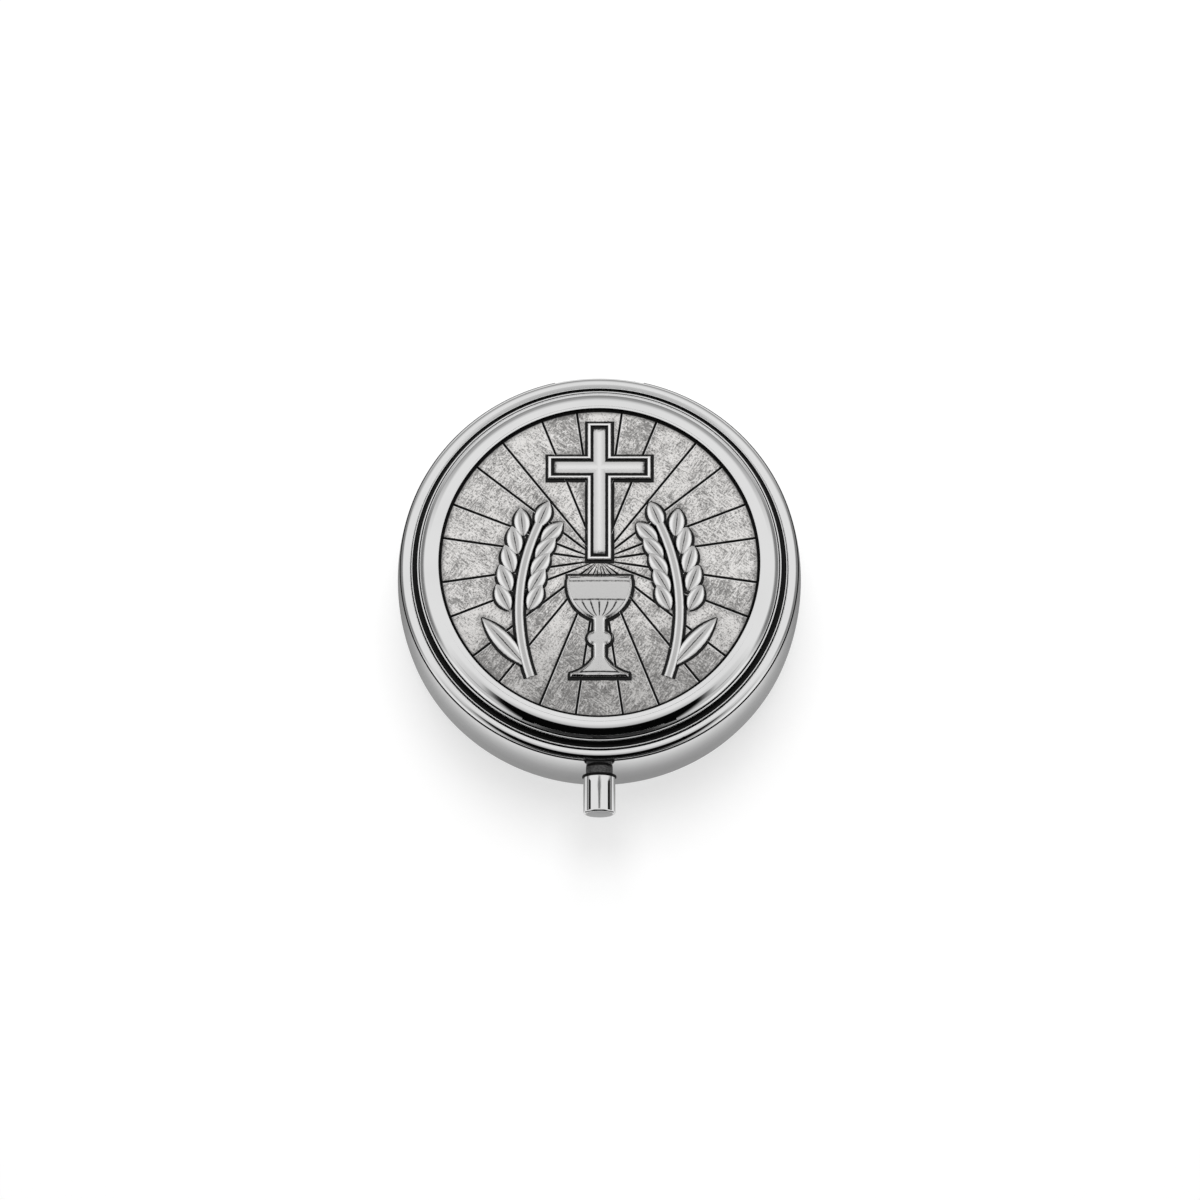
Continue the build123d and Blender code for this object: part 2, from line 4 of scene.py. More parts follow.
import bmesh
import bpy
import numpy as np
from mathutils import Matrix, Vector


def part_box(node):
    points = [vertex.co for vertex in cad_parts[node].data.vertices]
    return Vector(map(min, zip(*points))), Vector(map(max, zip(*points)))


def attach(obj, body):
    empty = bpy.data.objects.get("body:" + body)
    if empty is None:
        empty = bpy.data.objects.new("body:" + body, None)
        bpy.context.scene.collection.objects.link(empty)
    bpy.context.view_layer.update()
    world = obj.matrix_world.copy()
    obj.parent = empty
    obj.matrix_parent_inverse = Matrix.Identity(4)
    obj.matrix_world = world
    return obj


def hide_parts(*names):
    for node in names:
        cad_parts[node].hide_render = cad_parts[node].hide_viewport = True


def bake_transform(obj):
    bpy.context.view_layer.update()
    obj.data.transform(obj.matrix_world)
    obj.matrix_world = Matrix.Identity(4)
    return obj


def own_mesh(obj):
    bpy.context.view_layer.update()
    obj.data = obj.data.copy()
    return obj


# Pocket pyx: turned polished case, antiqued medallion, push button and the hidden hinge and catch.
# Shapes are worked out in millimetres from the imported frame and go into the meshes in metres.

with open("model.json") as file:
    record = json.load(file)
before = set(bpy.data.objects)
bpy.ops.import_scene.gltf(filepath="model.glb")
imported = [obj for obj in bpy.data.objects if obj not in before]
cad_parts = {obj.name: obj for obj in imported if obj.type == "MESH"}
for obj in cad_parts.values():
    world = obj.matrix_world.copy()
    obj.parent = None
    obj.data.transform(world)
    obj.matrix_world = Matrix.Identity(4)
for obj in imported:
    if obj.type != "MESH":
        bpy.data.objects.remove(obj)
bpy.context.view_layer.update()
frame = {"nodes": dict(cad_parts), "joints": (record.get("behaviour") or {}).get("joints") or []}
nodes = frame["nodes"]
mm = 0.001
mergeDistance = 2e-7  # metres
print("frame loaded with", len(nodes), "nodes")


def boxOf(node):  # lowest and highest corner of a node, in millimetres
    low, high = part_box(node)
    return np.array(low) / mm, np.array(high) / mm


def jointOf(name):  # a joint of the frame by its name
    return next(joint for joint in frame["joints"] if joint["name"] == name)


# Mesh tools

def mixed(a, b, t):  # straight mix of two values or arrays
    return a + (b - a) * t


def eased(low, high, x):  # smooth step: 0 at low, 1 at high, 3t^2 - 2t^3 between
    t = np.clip((x - low) / (high - low), 0, 1)
    return t * t * (3 - 2 * t)


def faded(low, high, x):  # the smooth step downwards: 1 at low, 0 at high
    return 1 - eased(low, high, x)


def bell(x, width):  # 1 in the middle, falling off as exp(-(x / width)^2)
    return np.exp(-((x / width) ** 2))


def quarterTurn(steps):  # even angles from 0 to a right angle
    return np.linspace(0, np.pi / 2, steps)


def fromAxis(points):  # distance of each point from the upright axis
    return np.hypot(points[..., 0], points[..., 1])


# Circle through three points: its centre is where their perpendicular bisectors cross
def circleThrough(*points):
    a, b, c = (np.array(p, float) for p in points)
    centre = np.linalg.solve(2 * np.array([b - a, c - a]), [b @ b - a @ a, c @ c - a @ a])
    return centre, np.hypot(*(a - centre))


# Arc through three points, by even steps of the angle about the circle's centre
def arcThrough(start, middle, end, steps):
    centre, radius = circleThrough(start, middle, end)
    turn = np.unwrap([math.atan2(p[1] - centre[1], p[0] - centre[0]) for p in (start, middle, end)])
    sweep = np.linspace(turn[0], turn[2], steps)
    return centre + radius * np.stack([np.cos(sweep), np.sin(sweep)], -1)


# Closed outline: a corner (x, y, radius) becomes the circular arc between its two tangent points, as a
# rational quadratic curve, with one more point just outside each end to keep the flats flat; an array is
# taken as it is
def outlineOf(*parts, steps=6, support=0.04):
    ends = [(np.array(p[:2]),) * 2 if isinstance(p, tuple) else (p[0], p[-1]) for p in parts]
    rows = []
    for i, part in enumerate(parts):
        here = ends[i][0]
        if not isinstance(part, tuple):
            rows.append(part)
        elif part[2] == 0:
            rows.append(here[None])
        else:
            back, ahead = ends[i - 1][1] - here, ends[(i + 1) % len(parts)][0] - here
            back, ahead = back / np.hypot(*back), ahead / np.hypot(*ahead)
            half = math.acos(np.clip(back @ ahead, -1, 1)) / 2
            reach = part[2] / math.tan(half)
            t = np.linspace(0, 1, steps)[:, None]
            weights = (1 - t) ** 2, 2 * t * (1 - t) * math.sin(half), t**2
            tangents = here + back * reach, here, here + ahead * reach
            arc = sum(w * p for w, p in zip(weights, tangents)) / sum(weights)
            rows.append(np.vstack([tangents[0] + back * support, arc, tangents[2] + ahead * support]))
    return np.vstack(rows)


def swept(r, h, a):  # rows of radius r and height h carried round the axis to (r cos a, r sin a, h)
    return np.stack([r * np.cos(a), r * np.sin(a), h + 0 * a], -1)


def turned(outline, columns=240):  # an outline of (radius, height) swept all the way round by even angles
    return swept(outline[:, :1], outline[:, 1:], np.linspace(0, 2 * np.pi, columns, endpoint=False))


# Corner numbers of the faces of a grid of points, wrapping round where asked
def gridFaces(rows, columns, wrapRows=True, wrapColumns=True):
    i = np.arange(rows if wrapRows else rows - 1)[:, None]
    j = np.arange(columns if wrapColumns else columns - 1)
    row, nextRow, nextJ = i * columns, (i + 1) % rows * columns, (j + 1) % columns
    return np.stack([row + j, row + nextJ, nextRow + nextJ, nextRow + j], -1).reshape(-1, 4)


def shellOf(grid):  # a grid that closes on itself both ways
    return grid, gridFaces(*grid.shape[:2]).tolist()


def tubeOf(grid):  # a grid that closes round its columns only
    return grid, gridFaces(*grid.shape[:2], False).tolist()


# Pad: a sheet of points closed by the same sheet at one height below it and a border between the two
def padOf(top, height):
    rows, columns = top.shape[:2]
    low = top.copy()
    low[..., 2] = height
    count = rows * columns
    upper = gridFaces(rows, columns, False, False)
    rim = np.arange(count).reshape(rows, columns)
    rim = np.concatenate([rim[0, :-1], rim[:-1, -1], rim[-1, :0:-1], rim[:0:-1, 0]])
    ahead = np.roll(rim, -1)
    sides = np.stack([rim, rim + count, ahead + count, ahead], -1)
    points = np.concatenate([top.reshape(-1, 3), low.reshape(-1, 3)])
    return points, np.concatenate([upper, upper[:, ::-1] + count, sides]).tolist()


# Strip: a closed outline of (y, z) carried from one x to another, with flat ends
def stripOf(outline, start, end):
    count = len(outline)
    ends = [np.column_stack([np.full(count, x), outline]) for x in (start, end)]
    caps = [list(range(count)), list(range(2 * count - 1, count - 1, -1))]
    return np.concatenate(ends), gridFaces(2, count, False).tolist() + caps


# Several shells in one piece: points end to end, face numbers moved along
def joined(*shells):
    points, faces, start = [], [], 0
    for shellPoints, shellFaces in shells:
        points.append(shellPoints.reshape(-1, 3))
        faces += [[corner + start for corner in face] for face in shellFaces]
        start += len(points[-1])
    return np.concatenate(points), faces


def setValues(mesh, values):  # one number a point for each named attribute
    for key, amounts in values.items():
        layer = mesh.attributes.new(key, "FLOAT", "POINT")
        layer.data.foreach_set("value", np.asarray(amounts, np.float32).ravel())


def placed(name, data):  # a new object at the origin, in the scene
    thing = bpy.data.objects.new(name, data)
    bpy.context.scene.collection.objects.link(thing)
    return thing


# Puts points and faces into a mesh, closes seams and poles, turns the faces outwards and rides the piece on
# its body
def addPiece(name, shell, slotName, body, stands, values=None, sharp=32):
    points, faces = shell
    mesh = bpy.data.meshes.new(name)
    mesh.from_pydata((points.reshape(-1, 3) * mm).tolist(), [], faces)
    setValues(mesh, values or {})
    work = bmesh.new()
    work.from_mesh(mesh)
    bmesh.ops.remove_doubles(work, verts=work.verts, dist=mergeDistance)
    bmesh.ops.dissolve_degenerate(work, edges=work.edges, dist=mergeDistance / 2)
    bmesh.ops.recalc_face_normals(work, faces=work.faces)
    work.to_mesh(mesh)
    work.free()
    mesh.shade_smooth()
    mesh.set_sharp_from_angle(angle=math.radians(sharp))
    mesh.materials.append(finishes[slotName])
    piece = placed(name, mesh)
    if body:
        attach(piece, body)
    if stands:
        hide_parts(*stands)
    return piece


# Material tools

def newTree(name):  # a material with its Principled shader
    material = bpy.data.materials.new(name)
    material.use_nodes = True
    tree = material.node_tree
    return material, tree, tree.nodes["Principled BSDF"]


def feed(tree, node, inputs):  # values or links on a node's sockets
    for key, value in inputs.items():
        if isinstance(value, bpy.types.NodeSocket):
            tree.links.new(value, node.inputs[key])
        else:
            node.inputs[key].default_value = value


def addNode(tree, kind, inputs=None, **settings):  # a node with its settings and what goes into it
    node = tree.nodes.new(kind)
    for key, value in settings.items():
        setattr(node, key, value)
    feed(tree, node, inputs or {})
    return node


def maths(tree, operation, a, b=0.0, clamp=False):
    return addNode(tree, "ShaderNodeMath", {0: a, 1: b}, operation=operation, use_clamp=clamp).outputs[0]


def added(tree, value, extra, share):  # a value and a share of another
    return maths(tree, "ADD", value, maths(tree, "MULTIPLY", extra, share))


def without(tree, value, share=1.0):  # 1 less a share of a value
    return maths(tree, "SUBTRACT", 1.0, maths(tree, "MULTIPLY", value, share))


def ranged(tree, value, low, high, toLow=0.0, toHigh=1.0):  # a value eased from one range to another
    inputs = {"Value": value, "From Min": low, "From Max": high, "To Min": toLow, "To Max": toHigh}
    return addNode(tree, "ShaderNodeMapRange", inputs, interpolation_type="SMOOTHSTEP").outputs[0]


def blended(tree, factor, a, b):  # value between two others
    return addNode(tree, "ShaderNodeMix", {0: factor, 2: a, 3: b}).outputs[0]


def tinted(tree, factor, a, b):  # colour between two others
    return addNode(tree, "ShaderNodeMix", {0: factor, 6: a, 7: b}, data_type="RGBA").outputs[2]


def noiseOf(tree, place, scale, detail, roughness=0.5, distortion=0.0):
    inputs = {"Vector": place, "Scale": scale, "Detail": detail, "Roughness": roughness,
              "Distortion": distortion}
    return addNode(tree, "ShaderNodeTexNoise", inputs).outputs[0]


def mapped(tree, place, scale, turn=(0, 0, 0), **settings):  # a place turned and stretched
    inputs = {"Vector": place, "Rotation": turn, "Scale": scale}
    return addNode(tree, "ShaderNodeMapping", inputs, **settings).outputs[0]


def grey(level, warmth=0.0):  # a grey, a little warm where asked
    return (level * (1 + warmth), level, level * (1 - warmth), 1)


def newGroup(name, output, values):  # a shader group with a vector, named values and one output
    group = bpy.data.node_groups.new(name, "ShaderNodeTree")
    group.interface.new_socket("Vector", in_out="INPUT", socket_type="NodeSocketVector")
    for key, value in values.items():
        group.interface.new_socket(key, in_out="INPUT", socket_type="NodeSocketFloat").default_value = value
    group.interface.new_socket(output, in_out="OUTPUT", socket_type="NodeSocketFloat")
    put, out = group.nodes.new("NodeGroupInput"), group.nodes.new("NodeGroupOutput")
    return group, put.outputs, out.inputs[output]


def useGroup(tree, group, inputs):
    return addNode(tree, "ShaderNodeGroup", inputs, node_tree=group).outputs[0]


def inMillimetres(tree):  # Object coordinates counted in millimetres
    place = addNode(tree, "ShaderNodeTexCoord").outputs["Object"]
    return addNode(tree, "ShaderNodeVectorMath", {0: place, "Scale": 1 / mm}, operation="SCALE").outputs[0]


def attributeOf(tree, name):
    return addNode(tree, "ShaderNodeAttribute", attribute_name=name).outputs["Fac"]


def bumped(tree, shader, height, strength, distance):  # a bump of a distance in millimetres
    inputs = {"Height": height, "Strength": strength, "Distance": distance * mm}
    tree.links.new(addNode(tree, "ShaderNodeBump", inputs).outputs[0], shader.inputs["Normal"])


# Effects that materials share

scratchSets = [{"turn": (0.3, 0.2, 0.5), "scale": (9.0, 0.35, 0.35)},
               {"turn": (1.1, 0.7, 2.2), "scale": (7.0, 0.3, 0.3)}]
effect = {"scratchEdge": (0.66, 0.74), "handlingEdge": (0.4, 0.75), "handlingSwirl": 0.6, "wispDetail": 0.6,
          "wispSwirl": 0.7, "wispCrest": (0.8, 0.98), "wispGateScale": 2.6, "wispGate": (0.5, 0.62)}


# Hairlines: noise drawn out along one direction, kept only where it is near its top, in two crossing sets
def makeHairlines():
    group, put, out = newGroup("hairlines", "Mask", {"Density": 1.0})
    drawn = [noiseOf(group, mapped(group, put["Vector"], **lines), 1.0, 2.0) for lines in scratchSets]
    both = maths(group, "MAXIMUM", *(ranged(group, noise, *effect["scratchEdge"]) for noise in drawn))
    group.links.new(maths(group, "MULTIPLY", both, put["Density"], True), out)
    return group


# Handling: broad soft noise where fingers have dulled a polish
def makeHandling():
    group, put, out = newGroup("handling", "Mask", {"Scale": 0.12})
    noise = noiseOf(group, put["Vector"], put["Scale"], 4.0, distortion=effect["handlingSwirl"])
    group.links.new(ranged(group, noise, *effect["handlingEdge"]), out)
    return group


# Turning marks: noise of the distance from the axis and the height alone, so it runs in rings
def makeTurningMarks():
    group, put, out = newGroup("turningMarks", "Height", {"Pitch": 6.0})
    x, y, z = addNode(group, "ShaderNodeSeparateXYZ", {0: put["Vector"]}).outputs
    square = maths(group, "ADD", maths(group, "MULTIPLY", x, x), maths(group, "MULTIPLY", y, y))
    ring = addNode(group, "ShaderNodeCombineXYZ", {0: maths(group, "SQRT", square), 2: z}).outputs[0]
    group.links.new(noiseOf(group, ring, put["Pitch"], 3.0, 0.6), out)
    return group


# Curved hairs: the crests of a sine of a swirling noise, thin, and kept where a second noise is high
def makeWisps():
    group, put, out = newGroup("wisps", "Mask", {"Scale": 0.5, "Count": 40.0})
    swirl = noiseOf(group, put["Vector"], put["Scale"], effect["wispDetail"], distortion=effect["wispSwirl"])
    crest = maths(group, "SINE", maths(group, "MULTIPLY", swirl, put["Count"]))
    gate = noiseOf(group, put["Vector"], maths(group, "MULTIPLY", put["Scale"], effect["wispGateScale"]), 2.0)
    kept = ranged(group, crest, *effect["wispCrest"]), ranged(group, gate, *effect["wispGate"])
    group.links.new(maths(group, "MULTIPLY", *kept), out)
    return group


hairlines, handling, turningMarks, wisps = makeHairlines(), makeHandling(), makeTurningMarks(), makeWisps()


# Finishes

# The case's near-black colour is painted shade: it blackens grooves, seams, creases and the button's neck
# where shade and dark reflections fall
polish = {"colour": grey(0.81), "dulled": grey(0.77), "endColour": grey(0.7), "paintedShade": grey(0.012),
          "roughness": (0.035, 0.09), "scratchRoughness": 0.03, "endRoughness": 0.34, "endDull": 0.6,
          "scratches": 0.6, "handling": 0.11, "grain": (9.0, 3.0), "paintedShadeGrain": 0.2,
          "paintedShadeEdge": (0.35, 0.7), "specular": 0.03, "endBump": (0.35, 0.02)}


# Polished case: dulled by handling, finely scratched, satin where the piece's own values say so, and black
# with painted shade where they say so
def makePolishedCase():
    material, tree, shader = newTree("polishedCase")
    place = inMillimetres(tree)
    scratches = useGroup(tree, hairlines, {"Vector": place, "Density": polish["scratches"]})
    dull = useGroup(tree, handling, {"Vector": place, "Scale": polish["handling"]})
    grain, satin = noiseOf(tree, place, *polish["grain"]), attributeOf(tree, "satin")
    paintedShade = added(tree, attributeOf(tree, "paintedShade"), grain, polish["paintedShadeGrain"])
    paintedShade = ranged(tree, paintedShade, *polish["paintedShadeEdge"])
    wearAndHighlight = ranged(tree, dull, 0.0, 1.0, *polish["roughness"])
    wearAndHighlight = added(tree, wearAndHighlight, scratches, polish["scratchRoughness"])
    metal = tinted(tree, satin, tinted(tree, dull, polish["colour"], polish["dulled"]), polish["endColour"])
    bright = maths(tree, "MULTIPLY", without(tree, satin, polish["endDull"]), without(tree, paintedShade))
    feed(tree, shader, {"Base Color": tinted(tree, paintedShade, metal, polish["paintedShade"]), "Metallic": bright,
                        "Roughness": blended(tree, satin, wearAndHighlight, polish["endRoughness"]),
                        "Specular IOR Level": polish["specular"]})
    bumped(tree, shader, maths(tree, "MULTIPLY", grain, satin), *polish["endBump"])
    return material


satinLook = {"colour": grey(0.74, 0.01), "dulled": grey(0.64, 0.015), "metallic": 0.65, "pitch": 7.0,
             "handling": 0.2, "marks": (0.3, 0.7), "roughness": (0.2, 0.34), "bump": (0.25, 0.02)}


# Satin lining: rings left by turning, dulled in patches
def makeSatinLining():
    material, tree, shader = newTree("satinLining")
    place = inMillimetres(tree)
    rings = useGroup(tree, turningMarks, {"Vector": place, "Pitch": satinLook["pitch"]})
    dull = useGroup(tree, handling, {"Vector": place, "Scale": satinLook["handling"]})
    feed(tree, shader, {"Base Color": tinted(tree, dull, satinLook["colour"], satinLook["dulled"]),
                        "Roughness": ranged(tree, rings, *satinLook["marks"], *satinLook["roughness"]),
                        "Metallic": satinLook["metallic"]})
    bumped(tree, shader, rings, *satinLook["bump"])
    return material


sheetLook = {"metallic": 0.85, "handling": 0.5, "marks": (0.3, 0.7), "spread": (0.8, 1.3),
             "bump": (0.2, 0.01)}


# Rolled or drawn metal: fine lines, dulled in patches
def makeSheetMetal(name, light, dark, roughness, lines):
    material, tree, shader = newTree(name)
    place = inMillimetres(tree)
    noise = noiseOf(tree, mapped(tree, place, lines), 1.0, 3.0)
    dull = useGroup(tree, handling, {"Vector": place, "Scale": sheetLook["handling"]})
    spread = [roughness * share for share in sheetLook["spread"]]
    feed(tree, shader, {"Base Color": tinted(tree, dull, grey(light), grey(dark)),
                        "Roughness": ranged(tree, noise, *sheetLook["marks"], *spread),
                        "Metallic": sheetLook["metallic"]})
    bumped(tree, shader, noise, *sheetLook["bump"])
    return material


rubberLook = {"colours": (grey(0.003), grey(0.008)), "grain": (8.0, 4.0), "marks": (0.3, 0.7),
              "roughness": (0.42, 0.62), "specular": 0.08, "bump": (0.3, 0.01)}


# Black rubber: a fine grain in its colour, roughness and surface
def makeBlackRubber():
    material, tree, shader = newTree("blackRubber")
    grain = noiseOf(tree, inMillimetres(tree), *rubberLook["grain"])
    feed(tree, shader, {"Base Color": tinted(tree, grain, *rubberLook["colours"]),
                        "Roughness": ranged(tree, grain, *rubberLook["marks"], *rubberLook["roughness"]),
                        "Specular IOR Level": rubberLook["specular"]})
    bumped(tree, shader, grain, *rubberLook["bump"])
    return material


# Each noise is (scale, detail, roughness) and perhaps a swirl; a share says how much of it counts
pewter = {"shade": grey(0.3, 0.02), "bright": grey(0.88, 0.02), "pit": grey(0.1, 0.02),
          "wisp": grey(0.98, 0.01), "top": grey(0.52, 0.008), "wearAndHighlight": grey(0.95, 0.004),
          "patina": grey(0.006), "roughness": (0.38, 0.24), "blotch": (0.45, 4.0, 0.6),
          "grain": (4.6, 1.5, 0.6), "speck": (8.5, 2.0, 0.6), "strokeTurns": (0.95, -0.65),
          "strokeSize": (1.1, 0.17, 1.0),
          "strokeNoise": (1.0, 2.0, 0.5, 0.5), "strokeGate": (0.3, 2.0, 0.5), "gateEdge": (0.44, 0.56),
          "blotchShare": 0.45, "grainShare": 0.55, "strokeShare": 0.7, "toneEdge": (0.67, 1.01),
          "pitGrain": 0.4, "pitEdge": (0.5, 0.62), "pitLevels": (0.7, 0.0), "wispShare": 0.8,
          "wispSets": ((0.5, 38.0), (0.83, 30.0)), "patinaGrain": 0.5, "patinaEdge": (0.5, 0.95),
          "patinaRough": 0.35, "patinaDull": 0.7, "topSmooth": 0.92, "bump": (0.5, 0.03)}


# Antiqued pewter: blotches, dark pits and pale hairs on the ground, bright rubbed tops, black in the
# recesses, painted highlights on chamfers, flanks and groove lips, painted shade near the relief, the moat
# and the button's side
def makeAntiquePewter():
    material, tree, shader = newTree("antiquePewter")
    place = inMillimetres(tree)

    def brushed():  # short strokes of two directions, each where a broad noise lets it through
        drawn = [mapped(tree, place, pewter["strokeSize"], (0, 0, turn), vector_type="TEXTURE")
                 for turn in pewter["strokeTurns"]]
        gate = ranged(tree, noiseOf(tree, place, *pewter["strokeGate"]), *pewter["gateEdge"])
        return blended(tree, gate, *(noiseOf(tree, lines, *pewter["strokeNoise"]) for lines in drawn))

    blotch, grain, speck = (noiseOf(tree, place, *pewter[key]) for key in ("blotch", "grain", "speck"))
    # each sector's own tone, with painted shade towards the button's side
    tone = attributeOf(tree, "sectorToneAndShade")
    for layer, share in ((blotch, "blotchShare"), (grain, "grainShare"), (brushed(), "strokeShare")):
        tone = added(tree, tone, layer, pewter[share])
    tone = ranged(tree, tone, *pewter["toneEdge"])
    pits = added(tree, speck, grain, pewter["pitGrain"])
    pits = ranged(tree, pits, *pewter["pitEdge"], *pewter["pitLevels"])
    hairs = maths(tree, "MAXIMUM", *(useGroup(tree, wisps, {"Vector": place, "Scale": scale, "Count": count})
                                     for scale, count in pewter["wispSets"]))
    rubbedAndHighlight = attributeOf(tree, "rubbedAndHighlight")
    metal = tinted(tree, tone, pewter["shade"], pewter["bright"])
    metal = tinted(tree, pits, metal, pewter["pit"])
    metal = tinted(tree, maths(tree, "MULTIPLY", hairs, pewter["wispShare"]), metal, pewter["wisp"])
    # painted shade near the relief, the moat and the button's side, in the pit colour
    metal = tinted(tree, attributeOf(tree, "paintedShadeHalo"), metal, pewter["pit"])
    metal = tinted(tree, rubbedAndHighlight, metal, pewter["top"])
    # painted highlight on chamfers, flanks, borders and groove lips
    metal = tinted(tree, attributeOf(tree, "wearAndHighlight"), metal, pewter["wearAndHighlight"])
    black = added(tree, attributeOf(tree, "patina"), grain, pewter["patinaGrain"])
    black = ranged(tree, black, *pewter["patinaEdge"])
    rough = blended(tree, rubbedAndHighlight, *pewter["roughness"])
    feed(tree, shader, {"Base Color": tinted(tree, black, metal, pewter["patina"]),
                        "Roughness": added(tree, rough, black, pewter["patinaRough"]),
                        "Metallic": without(tree, black, pewter["patinaDull"])})
    relief = maths(tree, "ADD", maths(tree, "SUBTRACT", tone, pits), hairs)
    plain = without(tree, rubbedAndHighlight, pewter["topSmooth"])
    bumped(tree, shader, maths(tree, "MULTIPLY", relief, plain), *pewter["bump"])
    return material


# Materials by the slots of the record; a sheet metal has its light and dark level, roughness and line scale
finishes = {"polished_case": makePolishedCase(), "satin_lining": makeSatinLining(),
            "antique_pewter": makeAntiquePewter(),
            "hinge_metal": makeSheetMetal("hingeMetal", 0.74, 0.62, 0.16, (0.6, 9.0, 9.0)),
            "spring_steel": makeSheetMetal("springSteel", 0.5, 0.34, 0.24, (6.0, 6.0, 6.0)),
            "catch_steel": makeSheetMetal("catchSteel", 0.6, 0.46, 0.26, (9.0, 9.0, 0.7)),
            "black_rubber": makeBlackRubber()}
print("materials made")


# Base

bodyRadius, _, seamHeight = boxOf("base_shell")[1]
case = {"bulgeHeight": 6.8, "footDraw": 0.12, "rimDraw": 0.45, "corner": 2.8, "sheet": 0.5, "rimEdge": 0.09,
        "rollIn": 0.08, "rollDown": 0.12, "notchHalf": 5.5, "notchBottom": 11.17, "notchCorner": 0.5,
        "notchLip": 0.15, "notchGap": 0.02, "notchFlat": 0.3, "evenFrom": 10.2, "seamPaintedShade": (0.05, 0.1),
        "floorRings": (0, 4, 9, 14, 18), "floorEdge": 0.2}
footRadius, seamRadius = bodyRadius - case["footDraw"], bodyRadius - case["rimDraw"]
wallCentre, wallBend = circleThrough((footRadius, case["corner"]), (bodyRadius, case["bulgeHeight"]),
                                     (seamRadius, seamHeight))


def wallRadius(height):  # radius of the wall on the arc through the foot, the widest line and the seam
    return wallCentre[0] + np.sqrt(wallBend**2 - (height - wallCentre[1]) ** 2)


# Columns round the case: even angles, and closer ones by the notch, where the wall's top drops from the
# seam to the notch's floor along a small lip, a straight side and a rounded corner
def notchColumns(evenCount=220, floorCount=9):
    lip, corner, floor, half = (case[key] for key in ("notchLip", "notchCorner", "notchBottom", "notchHalf"))
    bend = quarterTurn(6)
    x = np.concatenate([half + lip * (1 - np.sin(bend)),
                        half - case["notchGap"] - corner * (1 - np.cos(bend)),
                        np.linspace(half - corner - case["notchFlat"], 0, floorCount)])
    top = np.concatenate([seamHeight - lip * (1 - np.cos(bend)), floor + corner * (1 - np.sin(bend)),
                          np.full(floorCount, floor)])
    right = np.arccos(x / seamRadius)
    left = np.pi - right[-2::-1]
    even = np.linspace(left[-1], 2 * np.pi + right[0], evenCount)[1:-1]
    tops = np.concatenate([top, top[-2::-1], np.full(evenCount - 2, seamHeight)])
    return np.concatenate([right, left, even]), tops


# Base: from the middle of the bottom out along the outside, over the rolled rim and back down the inside, in
# rows of radius and height; painted shade blackens the top of the rim by the seam
def baseSurface():
    angle, top = notchColumns()
    thick, corner, edge = case["sheet"], case["corner"], case["rimEdge"]
    rollIn, rollDown, flat = case["rollIn"], case["rollDown"], footRadius - corner
    bottom = np.array([*case["floorRings"], flat - case["floorEdge"], flat])[:, None]
    bend = np.linspace(-np.pi / 2, 0, 16)[:, None]
    low = np.linspace(corner, case["evenFrom"], 26)[1:, None]
    upper = mixed(case["evenFrom"], top - rollDown, np.linspace(0, 1, 12)[1:, None])
    roll, rim = quarterTurn(6)[:, None], wallRadius(top - rollDown)
    rows = [(bottom, 0), (flat + corner * np.cos(bend), corner + corner * np.sin(bend)),
            (wallRadius(low), low), (wallRadius(upper), upper),
            (rim - rollIn * (1 - np.cos(roll)), top - rollDown * (1 - np.sin(roll))),
            (rim - thick + edge * (1 - np.sin(roll)), top - edge * (1 - np.cos(roll))),
            (wallRadius(upper[::-1]) - thick, upper[::-1]), (wallRadius(low[::-1]) - thick, low[::-1]),
            (flat + (corner - thick) * np.cos(bend[::-1]), corner + (corner - thick) * np.sin(bend[::-1])),
            (bottom[::-1], thick)]
    r = np.vstack([radius + 0 * angle for radius, height in rows])
    z = np.vstack([height + 0 * radius + 0 * angle for radius, height in rows])
    paintedShade = faded(*case["seamPaintedShade"], top - z) * (r > rim - thick / 2)
    return swept(r, z, angle), {"paintedShade": paintedShade}


basePoints, baseValues = baseSurface()
addPiece("baseShell", shellOf(basePoints), "polished_case", "base", ["base_shell"], baseValues)
print("base turned")

linerLow, linerHigh = boxOf("base_liner")
lining = {"radius": 19.4, "wall": 0.4, "corner": 1.5, "mouth": 0.3, "edge": 0.08, "evenTo": 20.5,
          "hingeCut": (5.5, 21.9), "tongueCut": (3.15, 21.11), "cutStep": 0.002}  # cuts: half width, radius


# Liner: the cup's outline turned, its deck squeezed inwards to a straight edge where the hinge and the tongue
# need room
def linerSurface():
    inside, wall, edge = lining["radius"], lining["wall"], lining["edge"]
    outside, deck, even = inside + wall, linerHigh[0], lining["evenTo"]
    low, top, step = linerLow[2], linerHigh[2], lining["cutStep"]
    outline = outlineOf((0, low, 0), (outside, low, lining["corner"] + wall), (outside, top - wall, edge),
                        (deck, top - wall, edge), (deck, top, edge), (inside, top, lining["mouth"]),
                        (inside, low + wall, lining["corner"]), (0, low + wall, 0), steps=10)
    cuts = [(middle, math.asin(lining[key][0] / deck), lining[key][1])
            for middle, key in ((np.pi / 2, "hingeCut"), (1.5 * np.pi, "tongueCut"))]
    beside = np.array([-1 - step, -1, 1, 1 + step])
    even200 = np.linspace(0, 2 * np.pi, 200, endpoint=False)
    angle = np.sort(np.concatenate([even200] + [middle + side * beside for middle, side, cut in cuts]))
    edgeRadius = np.full(len(angle), deck)
    for middle, side, cut in cuts:
        inCut = np.abs(angle - middle) < side * (1 + step / 2)
        edgeRadius = np.where(inCut, cut / np.cos(angle - middle), edgeRadius)
    r, z = outline[:, :1], outline[:, 1:]
    return swept(np.where(r > even, even + (r - even) * (edgeRadius - even) / (deck - even), r), z, angle)


addPiece("baseLiner", shellOf(linerSurface()), "satin_lining", "base", ["base_liner"])
print("liner turned")


# Lid

